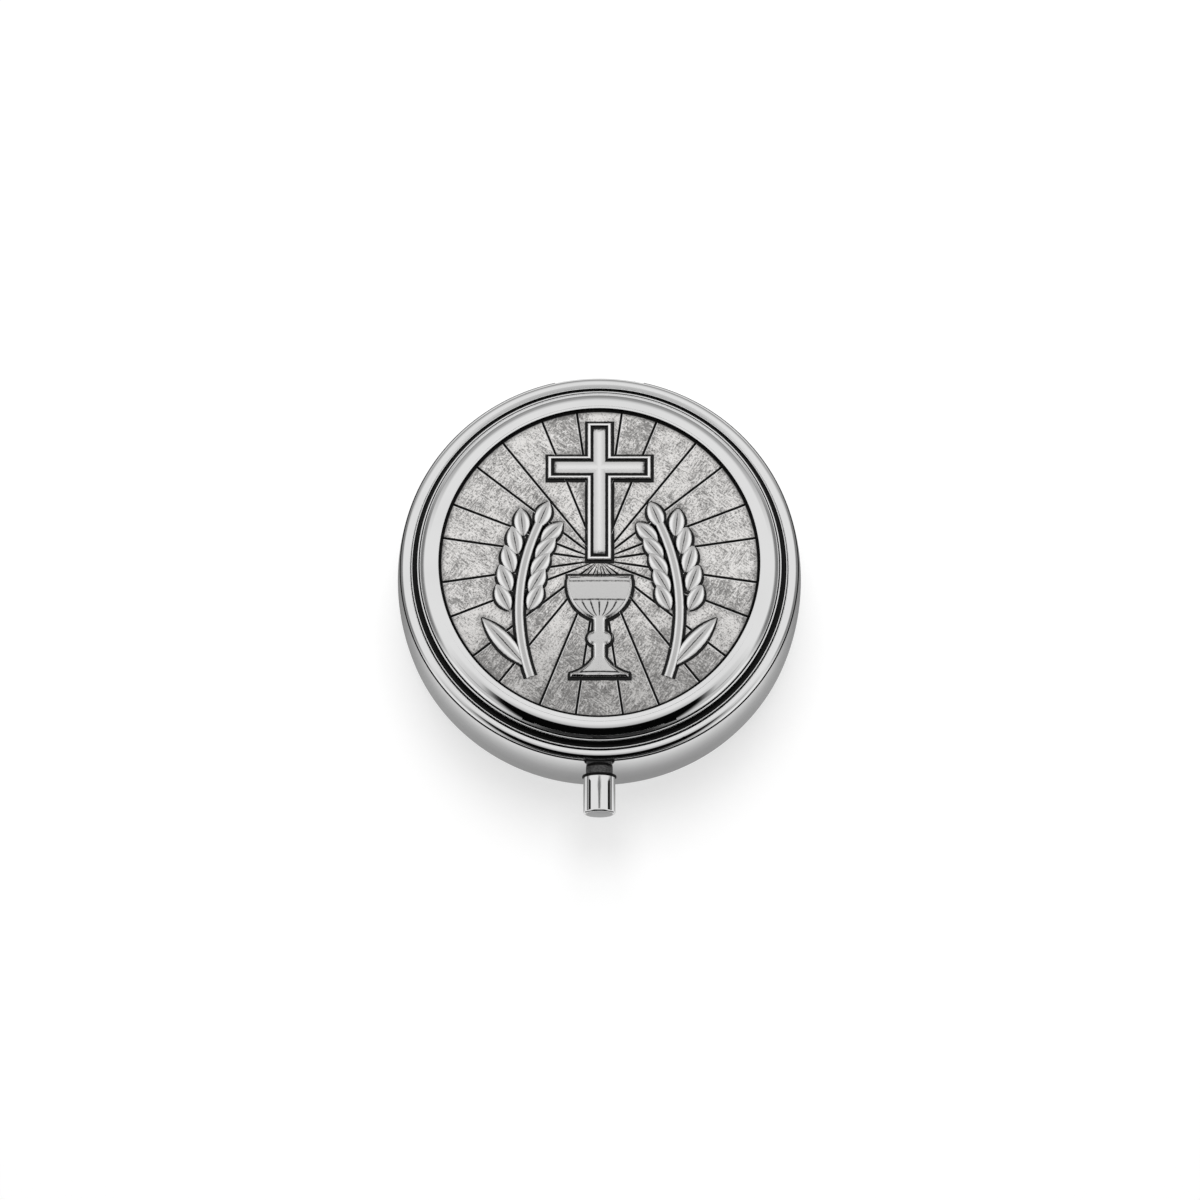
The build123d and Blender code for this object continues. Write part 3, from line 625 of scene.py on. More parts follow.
lidLow, lidHigh = boxOf("lid_shell")
# The values for the groove and the rim's lower edge set where painted shade lies
lid = {"plateRise": 0.55, "sheet": 0.5, "edge": 0.03, "grooveInner": 2.1, "grooveOuter": 1.56,
       "grooveDrop": 0.3, "grooveSheet": 0.34, "lip": 0.075, "lipLift": 0.02, "slopeStart": 2.4,
       "slopeDrop": 0.18, "crest": 1.0, "crestEase": ((0.1, 0.025), (0.05, 0.008)), "roll": 0.92,
       "skirt": 0.08, "rimEdges": (0.015, 0.06), "thickness": 0.6, "underStep": 0.2, "paintedShadeInward": 0.2,
       "paintedShadeOutward": 0.01, "paintedShadeSoft": 0.05, "rimPaintedShade": (0.02, 0.06), "satinBelow": 0.4,
       "satinWithin": 0.45}
lidRadius, lidBottom, shoulderTop = lidHigh[0], lidLow[2], lidHigh[2]
plateTop, crestRadius = lidBottom + lid["plateRise"], lidRadius - lid["crest"]
plateRadius, grooveRadius = lidRadius - lid["grooveInner"], lidRadius - lid["grooveOuter"]


def ridge(middle, height, radius, end=0.15):  # half a circle, from the inside outwards
    over = np.linspace(np.pi, end, 12)
    return np.column_stack([middle + radius * np.cos(over), height + radius * np.sin(over)])


# Lid: plate, groove, fine lip, a slope up to the crest and a shoulder that rolls over to the rim in a
# quarter of an ellipse; the underside is the same sheet without the lip
def lidOutline():
    edge, lip, inside = lid["edge"], lid["lip"], lidRadius - lid["sheet"]
    floor, plate = plateTop - lid["grooveDrop"], plateTop - lid["sheet"]
    under = shoulderTop - lid["thickness"]
    floorUnder = floor - lid["grooveSheet"]
    slope = [(grooveRadius + lid["slopeStart"] * lip, shoulderTop - lid["slopeDrop"])]
    slope += [(crestRadius - inward, shoulderTop - drop) for inward, drop in lid["crestEase"]]
    t = quarterTurn(30)
    rim = np.column_stack([crestRadius + lid["roll"] * np.sin(t),
                           shoulderTop - (shoulderTop - lidBottom - lid["skirt"]) * (1 - np.cos(t))])
    outerEdge, innerEdge = lid["rimEdges"]
    return outlineOf((0, plateTop, 0), (plateRadius, plateTop, edge), (plateRadius, floor, edge),
                     (grooveRadius, floor, edge), ridge(grooveRadius + lip, plateTop + lid["lipLift"], lip),
                     np.array(slope), rim, (crestRadius + lid["roll"], lidBottom, outerEdge),
                     (inside, lidBottom, innerEdge), (inside, under, edge),
                     (grooveRadius + lid["underStep"], under, edge), (grooveRadius, floorUnder, edge),
                     (plateRadius, floorUnder, edge), (plateRadius, plate, edge), (0, plate, 0))


# Painted shade: black in the groove and on the rim's lower edge; satin inside, on all that lies under the
# plate
def lidPaintedShadeAndSatin(points):
    r, z, soft = fromAxis(points), points[..., 2], lid["paintedShadeSoft"]
    depth = np.where(r < plateRadius + soft, 1.0, eased(0.0, soft, plateTop - z))
    groove = depth * (r > plateRadius - lid["paintedShadeInward"]) * (r < grooveRadius + lid["paintedShadeOutward"])
    within = (z < plateTop - lid["satinBelow"]) * (r < lidRadius - lid["satinWithin"])
    edge = faded(*lid["rimPaintedShade"], z - lidBottom) * (r > lidRadius - lid["sheet"])
    return {"paintedShade": np.maximum(groove * (1 - within), edge), "satin": 1.0 * within}


lidPoints = turned(lidOutline())
addPiece("lidShell", shellOf(lidPoints), "polished_case", "lid", ["lid_shell"], lidPaintedShadeAndSatin(lidPoints))

bezel = {"foot": 22.12, "inner": 19.7, "bore": 20.35, "flank": 0.87, "flankBow": 0.11, "lip": 0.43,
         "rise": 0.2, "browDrop": 0.3, "crestAt": 0.5, "innerDrop": 0.064, "edge": 0.04, "lipEdge": 0.05,
         "bead": 0.115, "sideStart": 0.05, "footRise": 0.85, "flankPaintedShade": (-0.45, 0.03),
         "flankFade": (0.1, 0.46), "footFade": 0.04, "lipPaintedShade": 0.02, "lipFade": (0.06, 0.1)}
bezelFoot, bezelInner, bezelCrest = bezel["foot"], bezel["inner"], boxOf("lid_bezel")[1][2]
footTop = plateTop + bezel["footRise"]


# Bezel: domed face, softened brow, swelling flank, a fine bead on the foot's edge, the foot's upright side
# and a lip over the medallion
def bezelOutline():
    edge, outer = bezelCrest - bezel["innerDrop"], bezelFoot + 2 * bezel["bead"]
    under, bow = bezelCrest - bezel["rise"] - bezel["lip"], bezel["flankBow"]
    brow = bezelFoot - bezel["flank"], bezelCrest - bezel["browDrop"]
    cheek = bezelFoot - bezel["flank"] / 2 + bow, (footTop + brow[1]) / 2 + bow
    face = arcThrough((bezelInner, edge), (bezelInner + bezel["crestAt"], bezelCrest), brow, 26)
    flank = arcThrough(brow, cheek, (bezelFoot, footTop), 26)
    t = np.linspace(0, 1, 9)[:, None]
    softened = mixed(face[-5], face[-1], t) * (1 - t) + mixed(face[-1], flank[4], t) * t
    bead = ridge(bezelFoot + bezel["bead"], footTop, bezel["bead"])
    side = np.array([[outer, footTop - bezel["sideStart"]], [outer, plateTop]])
    return outlineOf(face[1:-5], softened, flank[5:], bead[1:], side, (bezel["bore"], plateTop, 0),
                     (bezel["bore"], under, 0), (bezelInner, under, bezel["lipEdge"]),
                     (bezelInner, edge, bezel["edge"]))


# Painted shade: black at the end of the flank, on the foot's side and down the side of the moat
def bezelPaintedShade(points):  # black at the end of the flank, on the foot's side and down the side of the moat
    r, z = fromAxis(points), points[..., 2]
    inward, outward = bezelFoot + np.array(bezel["flankPaintedShade"])
    flank = (r > inward) * (r < outward) * faded(*bezel["flankFade"], z - footTop)
    foot = flank + eased(0.0, bezel["footFade"], footTop - z)
    lip = (r < bezelInner + bezel["lipPaintedShade"]) * eased(*bezel["lipFade"], bezelCrest - z)
    return np.clip(np.maximum(foot, lip), 0, 1)


bezelPoints = turned(bezelOutline())
addPiece("lidBezel", shellOf(bezelPoints), "polished_case", "lid", ["lid_bezel"],
         {"paintedShade": bezelPaintedShade(bezelPoints)})

(_, _, discBottom), (discRadius, _, discTop) = boxOf("lid_lining")
discEdge = 0.12
discOutline = outlineOf((0, discBottom, 0), (discRadius, discBottom, discEdge), (discRadius, discTop, 0),
                        (0, discTop, 0))
addPiece("lidLining", shellOf(turned(discOutline)), "satin_lining", "lid", ["lid_lining"])
print("lid turned")


# Medallion

medalLow, medalHigh = boxOf("medallion")
# Painted shade on the ground: darker near the relief's outlines, by the moat and on the side by the button
medal = {"moat": 0.27, "moatDepth": 0.35, "relief": 0.45, "bevel": 0.36, "wall": 0.14, "wallLean": 0.03,
         "round": 0.35, "skirt": 0.35, "skirtRise": 0.028, "skirtSteps": np.array([1, 0.8, 0.4]),
         "lean": (0.04, -0.07), "seat": 0.1, "paintedShadeReach": 0.5, "paintedShadeHalo": 0.62, "moatPaintedShadeScale": 1.4, "shade": 0.34,
         "shadeFrom": (-17, -3), "uneven": 0.012, "rimStain": 0.994}
rays = {"pairs": 12, "centre": 0.3, "halfAngle": 8.36, "slit": 0.13, "depth": 0.16, "lip": 0.025,
        "lipAt": 1.25, "end": 1.8, "opening": 0.075, "tone": 0.03, "drift": 0.05, "driftTurn": 2.4,
        "toneLift": 0.02, "paintedShadeDrop": 0.07, "paintedShadeFrom": (-18, -4)}
groundRadius = bezelInner - medal["moat"]
ground = medalHigh[2] - medal["relief"]
reliefSeat = ground - medal["seat"]


# Height above the ground at a distance inside an outline: a black skirt just over the ground, a short wall, a
# chamfer with rounded edges and the top
def reliefRise(inset):
    skirt = medal["skirtRise"] * mixed(-1, 1, eased(-medal["skirt"], -0.8 * medal["skirt"], inset))
    lean, bulge = medal["wallLean"], medal["round"]
    wall = medal["wall"] * np.clip(inset / lean, 0, 1)
    t = np.clip((inset - lean) / (medal["bevel"] - lean), 0, 1)
    face = wall + (medal["relief"] - medal["wall"]) * ((1 + bulge) * t - bulge * t**3)
    return np.where(inset <= 0, skirt, np.maximum(medal["skirtRise"], face))


# The black skirt is antiquing and also a painted shadow: it is drawn towards the shaded side
def shadowLeaned(points, inset):  # the skirt drawn a little to the shaded side, more at its outer edge
    moved = points.copy()
    moved[..., :2] += np.clip(-inset / medal["skirt"], 0, 1)[..., None] * np.array(medal["lean"])
    return moved


# Values of a relief: its own where it shows and none on its back; the ground's tone and painted shade stay
# off it
def reliefValues(patina, rubbedAndHighlight, wearAndHighlight, backCount):
    shown = {"patina": patina, "rubbedAndHighlight": rubbedAndHighlight, "wearAndHighlight": wearAndHighlight, "sectorToneAndShade": 0 * patina, "paintedShadeHalo": 0 * patina}
    return {key: np.concatenate([amounts.ravel(), np.zeros(backCount)]) for key, amounts in shown.items()}


# Ground: columns fan out from the rays' meeting point to the moat, with a row of close columns across each
# groove, whose lip away from the light carries a painted highlight; past the ground's edge the same columns
# go down into the moat, under the bezel and round the disc's back; painted shade fades with the distance to
# the nearest point of the relief's outlines or to the moat, and painted shade darkens the side by the button
def groundSurface(outlines):
    pairs, slit, up = rays["pairs"], rays["slit"], rays["centre"]
    beside = np.radians(rays["halfAngle"]) * np.array([-1, 1])
    rayAngle = 2 * np.pi / pairs * np.arange(pairs)[:, None] + beside
    rayAngle = np.sort(rayAngle.ravel())
    stops = np.array([0, 1, rays["lipAt"], rays["end"]])
    half = np.array([0.5, *stops[1:]])
    across = np.concatenate([-half[::-1], [0], half])
    cut = np.interp(np.abs(across), stops, [-rays["depth"], 0, rays["lip"], 0])
    stain = np.interp(np.abs(across), stops, [1, 0.75, 0.1, 0])
    bright = np.interp(np.abs(across), stops, [0, 0, 1, 0])
    lit = 0.5 - 0.5 * np.sign(across) * np.clip(3 * np.cos(rayAngle), -1, 1)[:, None]
    between = np.linspace(0, 1, 8)[1:-1]
    share = np.linspace(0, 1, 90)[1:, None] ** 0.85

    def reach(angle):  # from the meeting point to the edge of the ground
        return -up * np.sin(angle) + np.sqrt(groundRadius**2 - (up * np.cos(angle)) ** 2)

    away = share[..., None] * reach(rayAngle)[None, :, None]
    narrow = np.clip(away * rays["opening"] / (rays["end"] * slit), 0, 1)
    slitAngle = rayAngle[None, :, None] + np.arctan2(slit * across * narrow, away)
    nextStart = np.roll(slitAngle[..., 0], -1, axis=1)
    nextStart[:, -1] += 2 * np.pi
    sector = mixed(slitAngle[..., -1:], nextStart[..., None], between)

    def inColumns(slits, sectors):  # a ray's groove and the sector after it, side by side all the way round
        return np.concatenate([slits, sectors], -1).reshape(len(share), -1)

    angle = inColumns(slitAngle, sector)
    # painted highlight on the groove lip that faces the light, carried in the ground's rubbed and wear values
    drop, paintedLipHighlight = inColumns(cut * narrow, 0 * sector), inColumns(bright * lit * narrow, 0 * sector)
    dark = inColumns(stain * np.minimum(1, 0.4 + narrow), 0 * sector)
    x, y = share * reach(angle) * np.cos(angle), share * reach(angle) * np.sin(angle) + up
    order = np.arange(len(rayAngle))
    tone = rays["tone"] * (-1.0) ** order + rays["drift"] * np.sin(rays["driftTurn"] * order)
    tone = np.repeat(tone, len(across) + len(between)) + rays["toneLift"]
    # painted shade: the ground's tone falls towards the button's side
    tone = tone - rays["paintedShadeDrop"] * faded(*rays["paintedShadeFrom"], y)
    waves = np.sin(1.9 * x + 0.6 * y) * np.sin(1.3 * y - 0.8 * x) + 0.6 * np.sin(3.7 * x - 2.9 * y)
    z = ground + drop + medal["uneven"] * waves * eased(0, 2, np.hypot(x, y - up))
    low, rim, back = ground - medal["moatDepth"], medalHigh[0], medalLow[2]
    rings = np.array([(groundRadius + 0.02, ground - 0.05), (groundRadius + 0.06, low),
                      (bezelInner + 0.1, low), (rim - 0.02, low), (rim, low - 0.05), (rim, back),
                      (rim / 2, back), (0, back)])
    outer = swept(rings[:, :1], rings[:, 1:], np.arctan2(y[-1], x[-1]))
    middle = np.broadcast_to([0, up, ground], outer[:1].shape)
    points = np.concatenate([middle, np.stack([x, y, z], -1), outer])

    def inRows(first, shown, ringValues):  # a value at the middle, on the ground and on the rings
        return np.concatenate([first + 0 * shown[:1], shown, np.array(ringValues)[:, None] + 0 * shown[:1]])

    none = np.zeros(len(rings))
    patina = inRows(0.6, np.maximum(dark, eased(medal["rimStain"], 1.0, share)), [0.7, *(none[1:] + 1)])
    rubbedAndHighlight = inRows(0, paintedLipHighlight, none)
    # painted shade: darker near the relief and the moat, and on the side by the button
    away = np.stack([np.hypot(*(row[:, None, :2] - outlines).transpose(2, 0, 1)).min(1) for row in points])
    away = np.minimum(away, medal["moatPaintedShadeScale"] * np.maximum(0.02, groundRadius - fromAxis(points)))
    paintedShadeHalo = np.maximum(medal["paintedShadeHalo"] * bell(away, medal["paintedShadeReach"]),
                      medal["shade"] * faded(*medal["shadeFrom"], points[..., 1]))
    return points, {"patina": patina, "sectorToneAndShade": inRows(0, tone, none), "rubbedAndHighlight": rubbedAndHighlight, "wearAndHighlight": rubbedAndHighlight,
                    "paintedShadeHalo": paintedShadeHalo}


cross = {"top": 17.9, "height": 17.66, "bar": 3.0, "span": 12.74, "armDrop": 4.27, "border": 0.5,
         "recess": 0.24, "recessDepth": 0.34, "panelDrop": 0.1, "alongArm": 24, "endStain": 0.75,
         "endReach": 1.7}


# Cross: its outline of twelve corners, with more points along the arms, drawn in ring by ring; the profile
# rises to a round border, falls into a dark line and rises again to a panel that is dark at the ends of the
# arms; a painted highlight lies on the border and along the panel's middle
def crossSurface():
    border, relief, count = cross["border"], medal["relief"], cross["alongArm"]
    line = border + cross["recess"]
    floor, panel = relief - cross["recessDepth"], relief - cross["panelDrop"]
    bend = quarterTurn(7)[1:]
    inset = np.concatenate([-medal["skirt"] * medal["skirtSteps"], [0], border / 2 * (1 - np.cos(bend)),
                            border / 2 * (1 + np.sin(bend)),
                            mixed(border, line, np.array([0.3, 0.55, 0.8, 1.0])),
                            line + np.array([0.12, 0.3, 0.5, 0.66])])
    rise = np.concatenate([reliefRise(inset[:4]), relief * np.sin(bend),
                           floor + (relief - floor) * np.cos(bend),
                           [floor, floor, mixed(floor, panel, 0.4)],
                           panel - np.array([0.09, 0.055, 0.022, 0.004, 0])])
    half, arm = cross["bar"] / 2 - inset, cross["span"] / 2 - inset
    top, foot = cross["top"] - inset, cross["top"] - cross["height"] + inset
    high = cross["top"] - cross["armDrop"] - inset
    low = cross["top"] - cross["armDrop"] - cross["bar"] + inset
    x = np.stack([half, half, arm, arm, half, half, -half, -half, -arm, -arm, -half, -half], -1)
    y = np.stack([top, high, high, low, low, foot, foot, low, low, high, high, top], -1)
    share = np.linspace(0, 1, count, endpoint=False)
    sides = [i + (share if i % 3 < 2 else share[:1]) for i in range(12)]  # short ends get no points between
    corner = np.cumsum([0] + [len(side) for side in sides])
    first, part = np.divmod(np.concatenate(sides), 1)
    first = first.astype(int)
    x, y = (mixed(v[:, first], v[:, (first + 1) % 12], part) for v in (x, y))
    points = shadowLeaned(np.stack([x, y, ground + rise[:, None] + 0 * x], -1), inset[:, None] + 0 * x)
    rows, columns = x.shape
    size, here, along = x.size, np.arange(columns), np.arange(count + 1)
    ahead = (here + 1) % columns
    arms = [(corner[a] + along, (corner[b] + count - along) % columns)
            for a, b in ((0, 10), (1, 3), (4, 6), (7, 9))]
    caps = [np.stack([one[:-1], one[1:], other[1:], other[:-1]], -1) for one, other in arms]
    caps = np.concatenate([*caps, corner[None, [1, 4, 7, 10]]])
    faces = [gridFaces(rows, columns, False), caps + size - columns,
             np.stack([here, ahead, size + ahead, size + here], -1), caps + size]
    solid = np.concatenate([points.reshape(-1, 3), points[0] * (1, 1, 0) + (0, 0, reliefSeat)])
    toEnd = np.minimum(cross["top"] - y, y - cross["top"] + cross["height"])
    toEnd = np.minimum(toEnd, cross["span"] / 2 - np.abs(x))
    ends = cross["endStain"] * faded(border, cross["endReach"], toEnd) * (inset > border)[:, None]
    stain = np.interp(inset, [0.02, 0.1, border - 0.12, border - 0.04, mixed(border, line, 0.8), line + 0.12],
                      [1, 0, 0, 1, 1, 0.1])
    rubbedAndHighlight = np.interp(inset, [0.05, 0.2], [0, 1])
    # painted highlight on the border's round top and along the panel's middle
    wearAndHighlight = np.interp(inset, [0.05, 0.15, border - 0.1, border, line, inset[-1]], [0, 1, 1, 0, 0.1, 0.75])
    stain, rubbedAndHighlight, wearAndHighlight = (v[:, None] + 0 * x for v in (stain, rubbedAndHighlight, wearAndHighlight))
    values = reliefValues(np.maximum(stain, ends), rubbedAndHighlight, wearAndHighlight, columns)
    return (solid, np.concatenate(faces).tolist()), values, points[3, :, :2]


crossShell, crossValues, crossEdge = crossSurface()
addPiece("medallionCross", crossShell, "antique_pewter", "lid", [], crossValues, 25)

chalice = {"top": 1.7, "height": 12.9, "rim": 3.9, "belly": 3.3, "stem": 0.75, "knop": 1.5, "flare": 1.6,
           "foot": 3.6, "bowl": 5.6, "bellyRise": 2.0, "knopHeight": 1.8, "footHeight": 2.6, "hem": 0.55,
           "lipBand": 0.75, "lineDepth": 0.1, "lineWidth": 0.1, "lineGap": 0.12, "swell": 0.2,
           "fluteTop": 2.5, "fluteDepth": 0.1, "flutes": 7}


# Chalice: the half width follows arcs for the foot, knop and bowl; across each row the relief rises from both
# sides, and the first and last rows are carried past the foot and the rim and just inside them
def chaliceSurface():
    rim, bowl = -chalice["top"], -chalice["top"] - chalice["bowl"]
    floor, bevel = -chalice["top"] - chalice["height"], medal["bevel"]
    spread, hem = floor + chalice["footHeight"], floor + chalice["hem"]
    knop, stem, foot = (bowl + spread) / 2, chalice["stem"], chalice["foot"]
    over, under = knop + chalice["knopHeight"] / 2, knop - chalice["knopHeight"] / 2

    def upright(half, start, end, steps):  # a straight side
        return np.column_stack([np.full(steps, half), np.linspace(start, end, steps)])

    side = np.vstack([upright(foot, floor, hem, 6)[:-1],
                      arcThrough((foot, hem), (chalice["flare"], (hem + spread) / 2), (stem, spread), 20),
                      upright(stem, spread, under, 4)[1:-1],
                      arcThrough((stem, under), (chalice["knop"], knop), (stem, over), 16),
                      upright(stem, over, bowl, 4)[1:-1],
                      arcThrough((stem, bowl), (chalice["belly"], bowl + chalice["bellyRise"]),
                                 (chalice["rim"], rim), 44)])
    slope = np.gradient(side, axis=0)
    slope /= np.hypot(*slope.T)[:, None]
    inward = np.column_stack([-slope[:, 1], slope[:, 0]])
    insets = np.concatenate([-medal["skirt"] * medal["skirtSteps"],
                             bevel * np.array([0, 0.1, 0.18, 0.36, 0.6, 0.85, 1.0])])
    right = side[:, None] + inward[:, None] * insets[:, None]
    right[..., 0] = np.maximum(right[..., 0], 0.02 + 0.01 * np.arange(len(insets), 0, -1))
    middle = mixed(right[:, -1:], right[:, -1:] * (-1, 1), np.linspace(0, 1, 44)[1:-1, None])
    grid = np.concatenate([right, middle, right[:, ::-1] * (-1, 1)], 1)
    sideInset = np.concatenate([insets, np.full(middle.shape[1], bevel), insets[::-1]])
    footRows = np.stack([grid[0] * (1, 0) + (0, floor + inset) for inset in insets])
    rimRows = np.stack([grid[-1] * (1, 0) + (0, rim - inset) for inset in insets[::-1]])
    inner = grid[(side[:, 1] > floor + bevel) & (side[:, 1] < rim - bevel)]
    grid = np.concatenate([footRows, inner, rimRows])
    rowInset = np.concatenate([insets, np.full(len(inner), bevel), insets[::-1]])
    inset = np.minimum(sideInset, rowInset[:, None])
    across, level = grid[..., 0] / np.abs(grid[..., 0]).max(1, keepdims=True), grid[..., 1]
    inside, gap, fluteTop = eased(bevel * 0.9, bevel, inset), chalice["lineGap"], bowl + chalice["fluteTop"]
    lines = np.array([rim - chalice["lipBand"], fluteTop, over + gap, under - gap, hem + gap])
    cut = bell(level[..., None] - lines, chalice["lineWidth"]).max(-1)
    fluted = eased(bowl + 0.2, bowl + 0.6, level) * faded(fluteTop - 0.3, fluteTop - 0.1, level)
    valley = np.cos(np.pi * chalice["flutes"] / 2 * across) ** 8 * fluted
    swell = chalice["swell"] * across**2 + chalice["lineDepth"] * cut + chalice["fluteDepth"] * valley
    z = ground + reliefRise(inset) - inside * swell
    stain = np.maximum(faded(0.02, 0.1, inset), inside * np.maximum(0.9 * cut, 0.8 * valley))
    rubbedAndHighlight = eased(0.03, 0.1, inset)  # where it is high enough to be rubbed
    # painted highlight, brightest on the chamfer
    wearAndHighlight = eased(0.04, 0.12, inset) * faded(bevel * 0.8, bevel * 1.1, inset)  # brightest on the chamfer
    shell = padOf(shadowLeaned(np.concatenate([grid, z[..., None]], -1), inset), reliefSeat)
    return shell, reliefValues(stain, rubbedAndHighlight, wearAndHighlight, z.size), grid[np.abs(inset) < 0.01]


chaliceShell, chaliceValues, chaliceEdge = chaliceSurface()
addPiece("medallionChalice", chaliceShell, "antique_pewter", "lid", [], chaliceValues, 50)

wheat = {"bow": 26.0, "middleX": -9.8, "middleY": -6.0, "foot": -14.7, "earFoot": -6.2, "rows": 5,
         "pitch": 2.3, "grain": (3.8, 2.0), "tilt": 26.0, "offset": 1.1, "stalk": 1.15, "stalkRise": 0.85,
         "leaf": (8.5, 2.2), "leafTilt": 25.0, "leafRise": 1.2, "leafCrease": 1.4, "tipOverlap": 0.7,
         "crease": 0.16, "root": 0.45}


# Stalk line: place and heading at a height on the circle that the stalk is bent to
def stalkAt(height):
    turn = (np.asarray(height, float) - wheat["middleY"]) / wheat["bow"]
    x = wheat["middleX"] + wheat["bow"] * (1 - np.cos(turn))
    return x, wheat["middleY"] + wheat["bow"] * np.sin(turn), -turn


def bothWays(*steps):  # steps from -1 to 1 through 0, from those of one side
    return np.array([-step for step in steps[::-1]] + [0, *steps])


# Kernel shape: two arcs that meet in points give the half width; across it the height falls off as a round
# back, and a crease or rib runs along the middle; with it go its patina, its rubbed value and a painted
# highlight on its flanks
def kernelSheet(length, width, crease):
    radius = (length**2 + width**2) / (4 * width)
    u = 0.5 - 0.5 * np.cos(np.linspace(0, np.pi, 15))
    half = np.sqrt(radius**2 - ((u - 0.5) * length) ** 2)[:, None] - (radius - width / 2)
    v = bothWays(0.15, 0.35, 0.6, 0.8, 0.93, 0.985, 1)
    skirt = medal["skirt"] * medal["skirtSteps"] * (0.5 + 0.5 * np.sin(np.pi * u))[:, None]
    x = np.concatenate([-half - skirt, half * v, half + skirt[:, ::-1]], 1)
    y = np.broadcast_to((u * length)[:, None], x.shape)
    full = half / half.max()
    climb = mixed(wheat["root"], 1.0, eased(0.0, 0.75, u))[:, None]
    back = climb * np.clip(1 - v**2, 0, 1) ** 0.62 * full**0.45 - crease * bell(v, 0.13) * full
    over, edge = medal["skirtRise"], np.ones(skirt.shape)
    flat = edge * (-over, over, over)
    rise = np.concatenate([flat, over + (medal["relief"] - over) * back, flat[:, ::-1]], 1)
    stain = np.clip(1 - back / 0.42, 0, 1) + 0.75 * bell(v, 0.1) * full
    # painted highlight on the kernel's flanks, mid-grey along the crest
    flank = eased(0.35, 0.6, np.abs(v)) * faded(0.9, 0.98, np.abs(v)) + 0 * back
    values = [np.concatenate([level * edge, shown, level * edge], 1)
              for level, shown in ((1, stain), (0, eased(0.15, 0.4, back)), (0, flank))]
    return np.stack([x, y, ground + rise], -1), *values


# Stalk sheet: a round back carried along the stalk line, with the same kinds of values, the flanks' highlight
# painted too
def stalkSheet(start, end):
    x, y, heading = (v[:, None] for v in stalkAt(np.linspace(start, end, 40)))
    part, half = bothWays(0.3, 0.6, 0.85, 0.97, 1), wheat["stalk"] / 2
    skirt, over = medal["skirt"] * medal["skirtSteps"], medal["skirtRise"]
    across = np.concatenate([-half - skirt, half * part, half + skirt[::-1]])
    share = np.pad(1 - part**2, len(skirt))
    rise = over + (wheat["stalkRise"] * medal["relief"] - over) * np.sqrt(share)
    rise[[0, -1]] = -over
    profiles = (np.interp(share, [0, 0.15, 0.4], [1, 0.8, 0]), eased(0.2, 0.6, share),
                eased(0.2, 0.35, share) * faded(0.6, 0.85, share))
    points = np.stack([x + across * np.cos(heading), y + across * np.sin(heading), ground + rise + 0 * x], -1)
    return points, *(profile + 0 * x for profile in profiles)


def seated(sheet, x, y, heading):  # a sheet turned by its heading and moved to its place
    points, *values = sheet
    c, s = math.cos(heading), math.sin(heading)
    along, across, z = np.moveaxis(points, -1, 0)
    return np.stack([along * c - across * s + x, along * s + across * c + y, z], -1), *values


# Ear: one leaf, the bent stalk, pairs of kernels and a tip; the right ear is the left one mirrored
def earShells(hand):
    grain = kernelSheet(*wheat["grain"], wheat["crease"])
    leaf = kernelSheet(*wheat["leaf"], wheat["crease"] * wheat["leafCrease"])
    tip = wheat["rows"] * wheat["pitch"] + wheat["earFoot"]
    x, y, heading = stalkAt(wheat["foot"] + wheat["leafRise"])
    sheets = [seated(leaf, x, y, heading + math.radians(wheat["leafTilt"])), stalkSheet(wheat["foot"], tip)]
    for row in range(wheat["rows"]):
        x, y, heading = stalkAt(wheat["earFoot"] + row * wheat["pitch"])
        for side in (-1, 1):
            shift, tilt = side * wheat["offset"], side * math.radians(wheat["tilt"])
            place = x + shift * math.cos(heading), y + shift * math.sin(heading)
            sheets.append(seated(grain, *place, heading - tilt))
    sheets.append(seated(grain, *stalkAt(tip - wheat["tipOverlap"])))
    shells = [padOf(points * (hand, 1, 1), reliefSeat) for points, *values in sheets]
    parts = [reliefValues(*values, points[..., 0].size) for points, *values in sheets]
    edges = [points[:, (3, -4), :2].reshape(-1, 2) * (hand, 1) for points, *values in sheets]
    return joined(*shells), {key: np.concatenate([part[key] for part in parts]) for key in parts[0]}, edges


reliefEdges = [crossEdge, chaliceEdge]
for earName, hand in (("medallionWheatLeft", 1), ("medallionWheatRight", -1)):
    earShell, earValues, earEdges = earShells(hand)
    reliefEdges += earEdges
    addPiece(earName, earShell, "antique_pewter", "lid", [], earValues, 60)
groundPoints, groundValues = groundSurface(np.concatenate(reliefEdges))
addPiece("medallionGround", shellOf(groundPoints), "antique_pewter", "lid", ["medallion"], groundValues)
print("medallion modelled")


# Push button

capLow, capHigh = boxOf("button_cap")
buttonZ = (capLow[2] + capHigh[2]) / 2
button = {"wall": 0.23, "end": 0.8, "edge": 0.22, "mouthEdge": 0.06, "dome": 0.05, "domeRows": 14,
          "sideStart": 0.04, "hollowEdge": 0.1, "socket": 0.61, "socketDepth": 0.4, "socketEdge": 0.05}


def onButton(grid):  # a turned surface laid along -Y on the button's axis
    return np.stack([grid[..., 0], -grid[..., 2], grid[..., 1] + buttonZ], -1)


